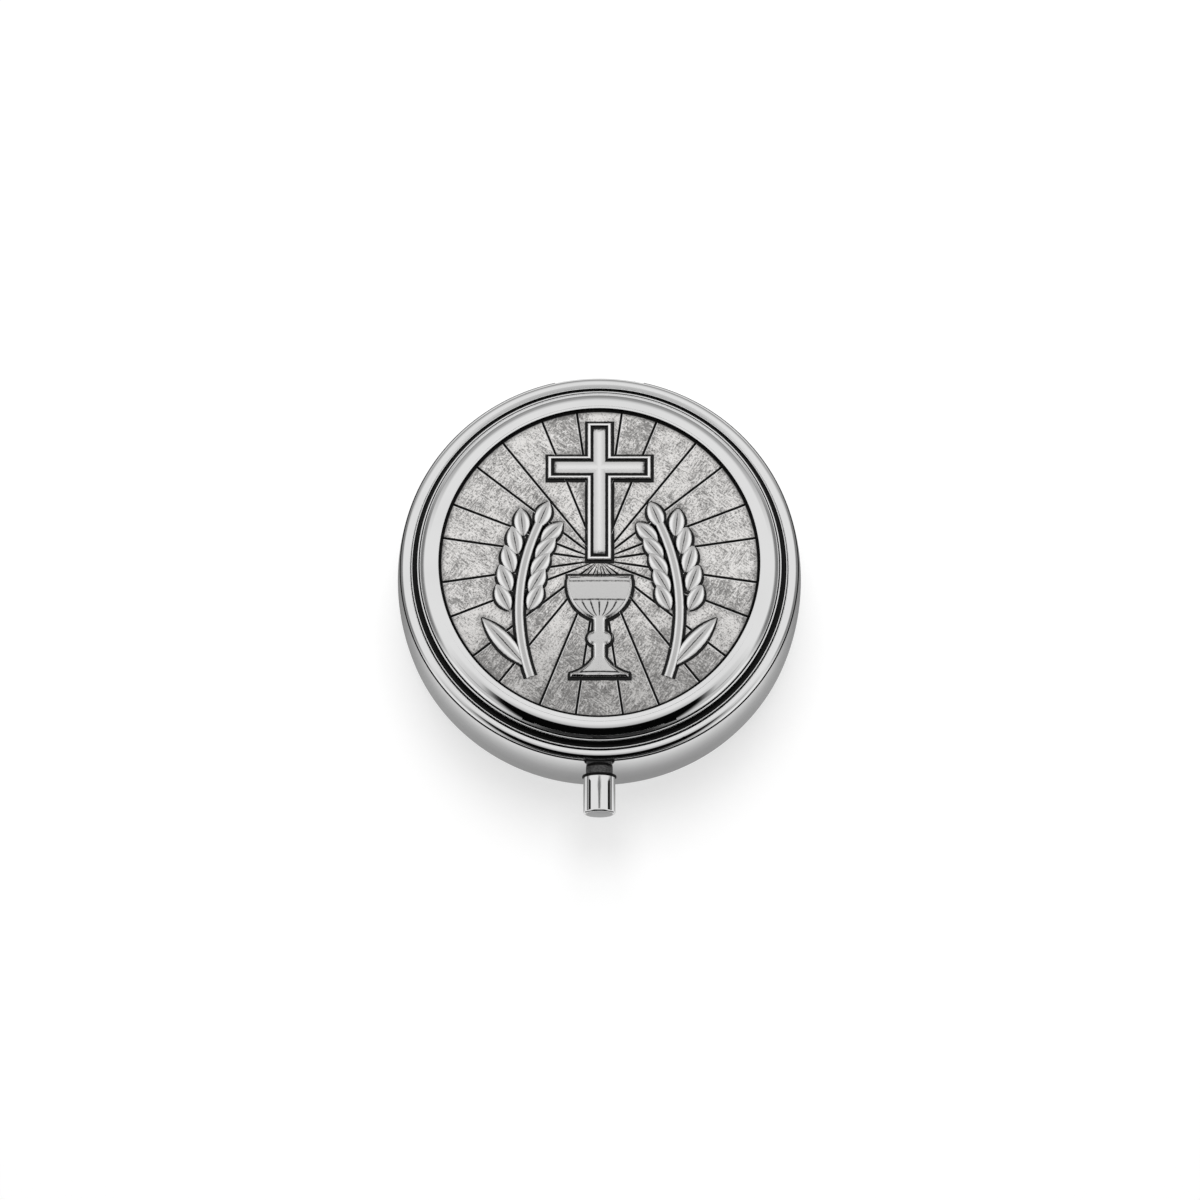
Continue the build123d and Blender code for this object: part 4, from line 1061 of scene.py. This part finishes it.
# Cap: slightly domed end, rounded edge, thin wall and hollow inside with the stem's socket
def capOutline():
    radius, inner, outer = capHigh[0], -capHigh[1], -capLow[1]
    edge, mouth, drop = button["edge"], button["mouthEdge"], button["dome"]
    hollow, bottom = radius - button["wall"], outer - button["end"]
    socket, socketEnd = button["socket"], bottom + button["socketDepth"]
    r = np.linspace(0, radius - edge, button["domeRows"])
    dome = np.column_stack([r, outer - drop * (r / r[-1]) ** 2])
    turn = quarterTurn(10)[1:]
    bend = np.column_stack([radius - edge * (1 - np.sin(turn)), outer - drop - edge * (1 - np.cos(turn))])
    side = np.array([[radius, bend[-1, 1] - button["sideStart"]]])
    return outlineOf(dome, bend, side, (radius, inner, mouth), (hollow, inner, mouth),
                     (hollow, bottom, button["hollowEdge"]), (socket, bottom, button["socketEdge"]),
                     (socket, socketEnd, 0), (0, socketEnd, 0))


capGrid = turned(capOutline(), 128)
capSatin = np.zeros(capGrid.shape[:2])
capSatin[:button["domeRows"] - 1] = 1
addPiece("buttonCap", shellOf(onButton(capGrid)), "polished_case", "button", ["button_cap"],
         {"satin": capSatin})

washerLow, washerHigh = boxOf("button_washer")
washer = {"bore": 1.72, "boreEdge": 0.05, "edge": 0.11}
washerOutline = outlineOf((washer["bore"], -washerHigh[1], washer["boreEdge"]),
                          (washer["bore"], -washerLow[1], washer["boreEdge"]),
                          (washerHigh[0], -washerLow[1], washer["edge"]),
                          (washerHigh[0], -washerHigh[1], washer["edge"]))
addPiece("buttonWasher", shellOf(onButton(turned(washerOutline, 96))), "black_rubber", "button",
         ["button_washer"])

ferruleLow, ferruleHigh = boxOf("button_ferrule")
ferrule = {"radius": 1.65, "bore": 0.65, "flange": 0.45, "edge": 0.06, "flangeEdge": 0.05, "corner": 0.03,
           "root": 0.4, "paintedShade": 0.54, "rootPaintedShade": (0.05, 0.22)}
neckStart = wallRadius(buttonZ + ferrule["radius"])


# Ferrule: flange inside the wall and a straight neck outside it, with closer rows at the neck's root
def ferruleOutline():
    radius, bore, edge = ferrule["radius"], ferrule["bore"], ferrule["flangeEdge"]
    flange, inner, outer = ferruleHigh[0], -ferruleHigh[1], -ferruleLow[1]
    flangeEnd = inner + ferrule["flange"]
    root = neckStart + np.linspace(0, ferrule["root"], 5)
    return outlineOf((bore, inner, edge), (flange, inner, edge), (flange, flangeEnd, edge),
                     (radius, flangeEnd, ferrule["corner"]),
                     np.column_stack([np.full(len(root), radius), root]),
                     (radius, outer, ferrule["edge"]), (bore, outer, edge))


ferruleGrid = turned(ferruleOutline(), 96)
# Painted shade and painted dark reflection: the whole ferrule darkened, black at the neck's root
ferrulePaintedShade = np.maximum(ferrule["paintedShade"], faded(*ferrule["rootPaintedShade"], ferruleGrid[..., 2] - neckStart))
addPiece("buttonFerrule", shellOf(onButton(ferruleGrid)), "polished_case", "base", ["button_ferrule"],
         {"paintedShade": ferrulePaintedShade})


# Spring: a round wire on a helix with straight legs where asked; the wire's circle stands square to the
# path by its normal and binormal
def coilSurface(radius, pitch, turns, wire, legs=(), perTurn=40, around=10):
    t = np.linspace(0, turns * 2 * np.pi, turns * perTurn + 1)
    path = np.stack([radius * np.cos(t), radius * np.sin(t), pitch * t / (2 * np.pi)], -1)
    if legs:
        share = np.linspace(1, 0, 8)[:-1, None]
        first, last = path[0] - (0, legs[0], 0) * share, path[-1] + (0, legs[1], 0) * share[::-1]
        path = np.concatenate([first, path, last])

    def unit(vectors):
        return vectors / np.linalg.norm(vectors, axis=1, keepdims=True)

    along = unit(np.gradient(path, axis=0))
    side = unit(np.cross(along, unit(path * (1, 1, 0))))
    out = np.cross(side, along)
    a = np.linspace(0, 2 * np.pi, around, endpoint=False)[:, None]
    tube = path[:, None] + wire / 2 * (np.cos(a) * out[:, None] + np.sin(a) * side[:, None])
    return np.concatenate([path[:1, None] + 0 * tube[:1], tube, path[-1:, None] + 0 * tube[:1]])


springLow, springHigh = boxOf("button_spring")
springLength = springHigh[1] - springLow[1]
buttonCoil = {"wire": 0.25, "turns": 3}
coilRadius = springHigh[0] - buttonCoil["wire"] / 2
coilPitch = (springLength - buttonCoil["wire"]) / buttonCoil["turns"]
coil = coilSurface(coilRadius, coilPitch, **buttonCoil)
coil[..., 2] += buttonCoil["wire"] / 2 - springHigh[1]
buttonSpring = addPiece("buttonSpring", tubeOf(onButton(coil)), "spring_steel", "button", ["button_spring"])
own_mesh(buttonSpring)
print("button made")


# Hinge

hingeY, hingeZ = np.array(jointOf("lid_hinge")["pos_m"][1:]) / mm
hinge = {"knuckle": 0.58, "bore": 0.33, "boreEdge": 0.02, "pin": 0.3, "pinEdge": 0.05, "sheet": 0.4,
         "edge": 0.06, "lidStart": 1.505, "lidEnd": 2.805, "baseStart": 2.905, "half": 4.505,
         "footStart": 19.75, "footEnd": 21.72, "footEdge": 0.05, "bends": (0.3, 0.2), "bendFlat": 0.3,
         "armOverlap": 0.1, "low": 13.1, "plateTop": 11.07, "plateHeight": 1.8, "plateGap": 0.05,
         "tabInner": 23.3, "tabOuter": 23.82, "tabEdge": 0.05}


def acrossHinge(outline):  # a turned outline of (radius, x) laid along X on the hinge's axis
    grid = turned(outline, 48)
    return shellOf(np.stack([grid[..., 2], grid[..., 0] + hingeY, grid[..., 1] + hingeZ], -1))


# On both sides a knuckle, a turned tube about the pin, and the strip that carries it
def knuckles(strip, start, end):
    bore, radius, edge, boreEdge = (hinge[key] for key in ("bore", "knuckle", "edge", "boreEdge"))
    shells = []
    for low, high in ((-end, -start), (start, end)):
        tube = outlineOf((bore, low, boreEdge), (radius, low, edge), (radius, high, edge),
                         (bore, high, boreEdge))
        shells += [stripOf(strip, low, high), acrossHinge(tube)]
    return shells


# Moving leaf: a strip with a soldered foot and a bend under the lid's groove, and two knuckles at its end
def lidLeafShells():
    plate, thick, low = plateTop - lid["sheet"], hinge["sheet"], hinge["low"]
    start, end, tip = hinge["footStart"], hinge["footEnd"], hinge["footEdge"]
    outside, inside = hinge["bends"]
    bend = end + thick
    flat, armStart = bend + hinge["bendFlat"], bend - hinge["armOverlap"]
    foot = outlineOf((start, plate, tip), (end, plate, outside), (bend, low, inside), (flat, low, 0.0),
                     (flat, low - thick, 0.0), (bend, low - thick, outside), (end, plate - thick, inside),
                     (start, plate - thick, tip))
    arm = outlineOf((armStart, low, 0.0), (hingeY, low, 0.0), (hingeY, low - thick, 0.0),
                    (armStart, low - thick, 0.0))
    return joined(stripOf(foot, -hinge["lidEnd"], hinge["lidEnd"]),
                  *knuckles(arm, hinge["lidStart"], hinge["lidEnd"]))


addPiece("hingeLidLeaf", lidLeafShells(), "hinge_metal", "lid", ["hinge_lid_leaf"])


# Fixed leaf: a plate bent to the wall's inside below the notch, two tabs and two knuckles
def baseLeafShells():
    half, top, edge = hinge["half"], hinge["plateTop"], hinge["tabEdge"]
    x = np.linspace(-half, half, 40)[:, None]
    z = np.linspace(top - hinge["plateHeight"], top, 10)
    outside = wallRadius(z) - case["sheet"] - hinge["plateGap"]
    inside = outside - hinge["sheet"]
    y = np.concatenate([np.sqrt(outside**2 - x**2), np.sqrt(inside**2 - x**2)[:, ::-1]], 1)
    plate = np.stack([x + 0 * y, y, np.concatenate([z, z[::-1]]) + 0 * y], -1)
    rows, count = y.shape
    faces = gridFaces(rows, count, False).tolist()
    faces += [list(range(count)), list(range((rows - 1) * count, rows * count))]
    tabLow = top - hinge["plateHeight"] / 2
    tab = outlineOf((hinge["tabInner"], tabLow, edge), (hinge["tabOuter"], tabLow, edge),
                    (hinge["tabOuter"], hingeZ, 0.0), (hinge["tabInner"], hingeZ, 0.0))
    return joined((plate, faces), *knuckles(tab, hinge["baseStart"], half))


addPiece("hingeBaseLeaf", baseLeafShells(), "hinge_metal", "base", ["hinge_base_leaf"])

pinOutline = outlineOf((0, -hinge["half"], 0), (hinge["pin"], -hinge["half"], hinge["pinEdge"]),
                       (hinge["pin"], hinge["half"], hinge["pinEdge"]), (0, hinge["half"], 0))
addPiece("hingePin", acrossHinge(pinOutline), "hinge_metal", "base", ["hinge_pin"])

hingeCoil = {"wire": 0.2, "radius": 0.47, "pitch": 0.77, "turns": 3, "legs": (1.25, 0.55)}
wound = coilSurface(**hingeCoil)
coilHalf = hingeCoil["turns"] * hingeCoil["pitch"] / 2
wound = np.stack([coilHalf - wound[..., 2], hingeY - wound[..., 0], hingeZ + wound[..., 1]], -1)
hingeSpring = addPiece("hingeSpring", tubeOf(wound), "spring_steel", None, ["hinge_spring"])
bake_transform(hingeSpring)
print("hinge made")

for nodeName in ("button_stem", "stem_clip", "lid_tongue", "catch_plate", "catch_guide"):
    carried = nodes[nodeName].data.materials
    carried.clear()
    carried.append(finishes["catch_steel"])
print("catch finished")


# Camera at the photograph's angle: the picture is 1200 pixels square, and the mark is a point on the axis

picture = {"pixels": 1200, "pixelsPerMm": 8.17, "elevation": 74.07, "distance": 600.0,
           "markPixel": (599.35, 561.5), "markHeight": 15.8, "sensor": 36.0, "clipStart": 0.01}


def cameraPlace():  # back from the target that puts the mark on its pixel, in millimetres
    lift = math.radians(picture["elevation"])
    ahead, up = np.array([0, math.cos(lift), -math.sin(lift)]), np.array([0, math.sin(lift), math.cos(lift)])
    offset = (picture["pixels"] / 2 - np.array(picture["markPixel"])) / picture["pixelsPerMm"]
    return np.array([offset[0], 0, picture["markHeight"]]) - up * offset[1] - ahead * picture["distance"]


def makeCamera():
    data = bpy.data.cameras.new("camera")
    data.sensor_width = picture["sensor"]
    data.lens = picture["sensor"] * picture["distance"] * picture["pixelsPerMm"] / picture["pixels"]
    data.clip_start = picture["clipStart"]
    camera = placed("camera", data)
    camera.location = cameraPlace() * mm
    camera.rotation_euler = (math.radians(90 - picture["elevation"]), 0, 0)
    bpy.context.scene.camera = camera


# Stage: a pale floor that keeps the shadow, a white surround, a soft lamp and dark cards that only
# reflections show; sizes in metres

studio = {"floorSize": 3.0, "floorDrop": 0.0002, "floorGlow": 0.66, "floorColour": grey(0.38),
          "surround": 0.25, "lampSize": 0.45, "lampHeight": 0.62, "lampBack": 0.25, "lampPower": 4.1,
          "cardColour": grey(0.004)}


def seenDirectly(tree):  # 1 for camera, mirror and glass rays
    path = addNode(tree, "ShaderNodeLightPath").outputs
    seen = maths(tree, "MAXIMUM", path["Is Camera Ray"], path["Is Glossy Ray"])
    return maths(tree, "MAXIMUM", seen, path["Is Transmission Ray"])


def bySight(tree, unseen, seen, output):  # one shader for the light it gives, another where it is looked at
    either = addNode(tree, "ShaderNodeMixShader", {0: seenDirectly(tree), 1: unseen, 2: seen})
    tree.links.new(either.outputs[0], tree.nodes[output].inputs["Surface"])


def makeFloor():
    half = studio["floorSize"] / 2
    corners = [(-half, -half), (half, -half), (half, half), (-half, half)]
    mesh = bpy.data.meshes.new("floor")
    mesh.from_pydata([(x, y, -studio["floorDrop"]) for x, y in corners], [], [(0, 1, 2, 3)])
    material, tree, shader = newTree("paleFloor")
    feed(tree, shader, {"Base Color": studio["floorColour"], "Roughness": 1, "Specular IOR Level": 0})
    glow = addNode(tree, "ShaderNodeEmission", {"Color": grey(1), "Strength": studio["floorGlow"]}).outputs[0]
    lit = addNode(tree, "ShaderNodeAddShader", {0: shader.outputs[0], 1: glow}).outputs[0]
    bySight(tree, shader.outputs[0], lit, "Material Output")
    mesh.materials.append(material)
    placed("floor", mesh)


def makeSurround():
    world = bpy.data.worlds.new("studio")
    bpy.context.scene.world = world
    world.use_nodes = True
    tree = world.node_tree
    plain = tree.nodes["Background"]
    feed(tree, plain, {"Color": grey(1), "Strength": studio["surround"]})
    white = addNode(tree, "ShaderNodeBackground", {"Color": grey(1), "Strength": 1.0})
    bySight(tree, plain.outputs[0], white.outputs[0], "World Output")


def addCard(name, grid, opacity, closed=True):  # black, as thin as its opacity, only there for mirror rays
    mesh = bpy.data.meshes.new(name)
    mesh.from_pydata(grid.reshape(-1, 3).tolist(), [], gridFaces(*grid.shape[:2], False, closed).tolist())
    setValues(mesh, {"opacity": opacity})
    material, tree, shader = newTree(name)
    feed(tree, shader, {"Base Color": studio["cardColour"], "Specular IOR Level": 0,
                        "Alpha": attributeOf(tree, "opacity")})
    mesh.materials.append(material)
    card = placed(name, mesh)
    card.visible_camera = card.visible_diffuse = card.visible_shadow = False


# Turns from the front towards the right and lifts above the horizon are in degrees
cardDome = {"radius": 0.5, "lifts": (0.2, 89.5), "overall": 0.1}
frontCard = {"half": 46.0, "lowHalf": 28.0, "fullHalfAt": 42.0, "soft": 18.0, "top": (46.0, 57.0)}
veilCard = {"level": 0.5, "side": (25, 100), "top": (46.0, 92)}
armCards = {"level": 0.7, "lift": 27.0, "thick": 7.0, "side": (55.0, 80.0)}
backCard = {"level": 0.85, "side": (35, 80), "top": (-8, 62.0), "falloff": 1.2}
sideCards = {"right": 0.82, "left": 0.76, "front": (60, 85), "back": (125, 165), "top": (-5, 30.0)}
# The near values set the painted shadow that the mat lays round the object
floorMat = {"height": 0.0003, "level": 0.97, "far": (0.0335, 0.041), "rings": (0.15, 0.25), "gap": (18, 50),
            "farSides": 0.8, "gapEnd": (60, 82), "nearStart": 0.0225, "nearEnd": 0.09,
            "nearFront": (0.58, 0.05), "nearFade": 0.026, "nearSides": 0.74, "nearTurn": (55, 95),
            "backOpen": 0.7, "backTurn": (112, 150)}


# Darkness of the cards by turn and lift: a black card in front, narrower near the floor, with two arms and a
# thin veil above it, and greyer ones behind and at both sides that fade upwards
def cardOpacity(turn, lift):
    side = np.abs(turn)
    half = mixed(frontCard["lowHalf"], frontCard["half"], np.clip(lift / frontCard["fullHalfAt"], 0, 1))
    front = faded(half, half + frontCard["soft"], side) * faded(*frontCard["top"], lift)
    veil = veilCard["level"] * faded(*veilCard["side"], side) * faded(*veilCard["top"], lift)
    arms = armCards["level"] * faded(*armCards["side"], side)
    arms = arms * bell(lift - armCards["lift"], armCards["thick"])
    back = backCard["level"] * faded(*backCard["side"], 180 - side)
    back = back * faded(*backCard["top"], lift) ** backCard["falloff"]
    flanks = np.where(turn > 0, sideCards["right"], sideCards["left"]) * faded(*sideCards["top"], lift)
    flanks = flanks * eased(*sideCards["front"], side) * faded(*sideCards["back"], side)
    return np.maximum.reduce([front, veil, arms, back, flanks, np.full(front.shape, cardDome["overall"])])


# Cards on a dome, each point at (R cos lift sin turn, -R cos lift cos turn, R sin lift), and a dark mat on
# the floor that starts a little way from the object and is open between the front and the sides and behind;
# close round the object the mat is a painted shadow that mirror rays see
def makeCards():
    turn = np.linspace(-180, 180, 181)[None, :-1]
    lift = np.linspace(*cardDome["lifts"], 70)[:, None]
    t, e, side, radius = np.radians(turn), np.radians(lift), np.abs(turn), cardDome["radius"]
    dome = radius * np.stack([np.cos(e) * np.sin(t), -np.cos(e) * np.cos(t), np.sin(e) + 0 * t], -1)
    addCard("darkCards", dome, cardOpacity(turn + 0 * lift, lift + 0 * turn))
    (start, full), end = floorMat["far"], floorMat["nearEnd"]
    reach = np.concatenate([np.linspace(floorMat["nearStart"], full, 16), np.linspace(full, end, 8)[1:],
                            floorMat["rings"], [radius]])[:, None]
    mat = np.stack([reach * np.sin(t), -reach * np.cos(t), floorMat["height"] + 0 * reach * t], -1)
    free = eased(*floorMat["gap"], side) * (1 - floorMat["farSides"] * eased(*floorMat["gapEnd"], side))
    far = floorMat["level"] * (1 - free) * eased(start, full, reach)
    # painted shadow: the floor close to the object darkened for mirror rays
    near = mixed(*floorMat["nearFront"], eased(floorMat["nearFade"], start, reach))
    near = mixed(near, floorMat["nearSides"], eased(*floorMat["nearTurn"], side)) * faded(start, end, reach)
    shut = 1 - floorMat["backOpen"] * eased(*floorMat["backTurn"], side)
    addCard("darkMatAndPaintedShadow", mat, shut * np.maximum(far, near))


# Rows of the flag stand past the cap's outer end and by its inner one; sizes in millimetres
flags = {"lift": 320.0, "half": 46.0, "widths": (0.8, 1.0, 1.5, 2.2), "outerRow": 0.2,
         "innerRows": (-1.4, -0.4, 0.1), "level": 0.78, "stripAway": 12.0, "leftStrip": (3.3, 6.6),
         "rightStrip": (3.0, 7.0), "stripSoft": 0.5, "stripEnds": (0.5, 0.6)}


# Flags for the button: a long one high behind it, where the top of the cap looks, wider towards the neck,
# and an upright strip on each side, low, where the cap's shoulders look; each lies back by the slope of the
# mirrored line of sight
def makeButtonFlags():
    eye, top, outer, inner = cameraPlace(), capHigh[2], capLow[1], capHigh[1]
    away, soft = flags["stripAway"], flags["stripSoft"]
    y = np.array([outer - flags["outerRow"], *(inner + np.array(flags["innerRows"]))])[:, None]
    slope = (y - eye[1]) / (eye[2] - top)
    x = flags["half"] * np.array(flags["widths"])[:, None] * np.linspace(-1, 1, 9)
    flag = np.stack([x, y + slope * flags["lift"] + 0 * x, top + flags["lift"] + 0 * x], -1)
    addCard("capFlag", flag * mm, np.full(x.shape, flags["level"]), False)
    past, short = flags["stripEnds"]
    y = np.array([outer - past, inner - short]) + slope[0] * away
    for name, hand in (("leftStrip", -1), ("rightStrip", 1)):
        low, high = flags[name]
        z = buttonZ + np.array([low - soft, low, high, high + soft])[:, None]
        strip = np.stack([hand * away + 0 * y * z, y + 0 * z, z + 0 * y], -1)
        addCard(name, strip * mm, np.array([0, 1, 1, 0])[:, None] + 0 * y, False)


def makeLamp():
    lamp = bpy.data.lights.new("softbox", "AREA")
    lamp.shape, lamp.size, lamp.energy = "SQUARE", studio["lampSize"], studio["lampPower"]
    softbox = placed("softbox", lamp)
    softbox.location = (0, studio["lampBack"], studio["lampHeight"])
    softbox.rotation_euler = (-math.atan2(studio["lampBack"], studio["lampHeight"]), 0, 0)
    softbox.visible_camera = softbox.visible_glossy = False


makeFloor()
makeSurround()
makeCards()
makeButtonFlags()
makeLamp()
makeCamera()
bpy.context.scene.view_settings.view_transform = "Standard"
print("stage lit")

bpy.context.view_layer.update()
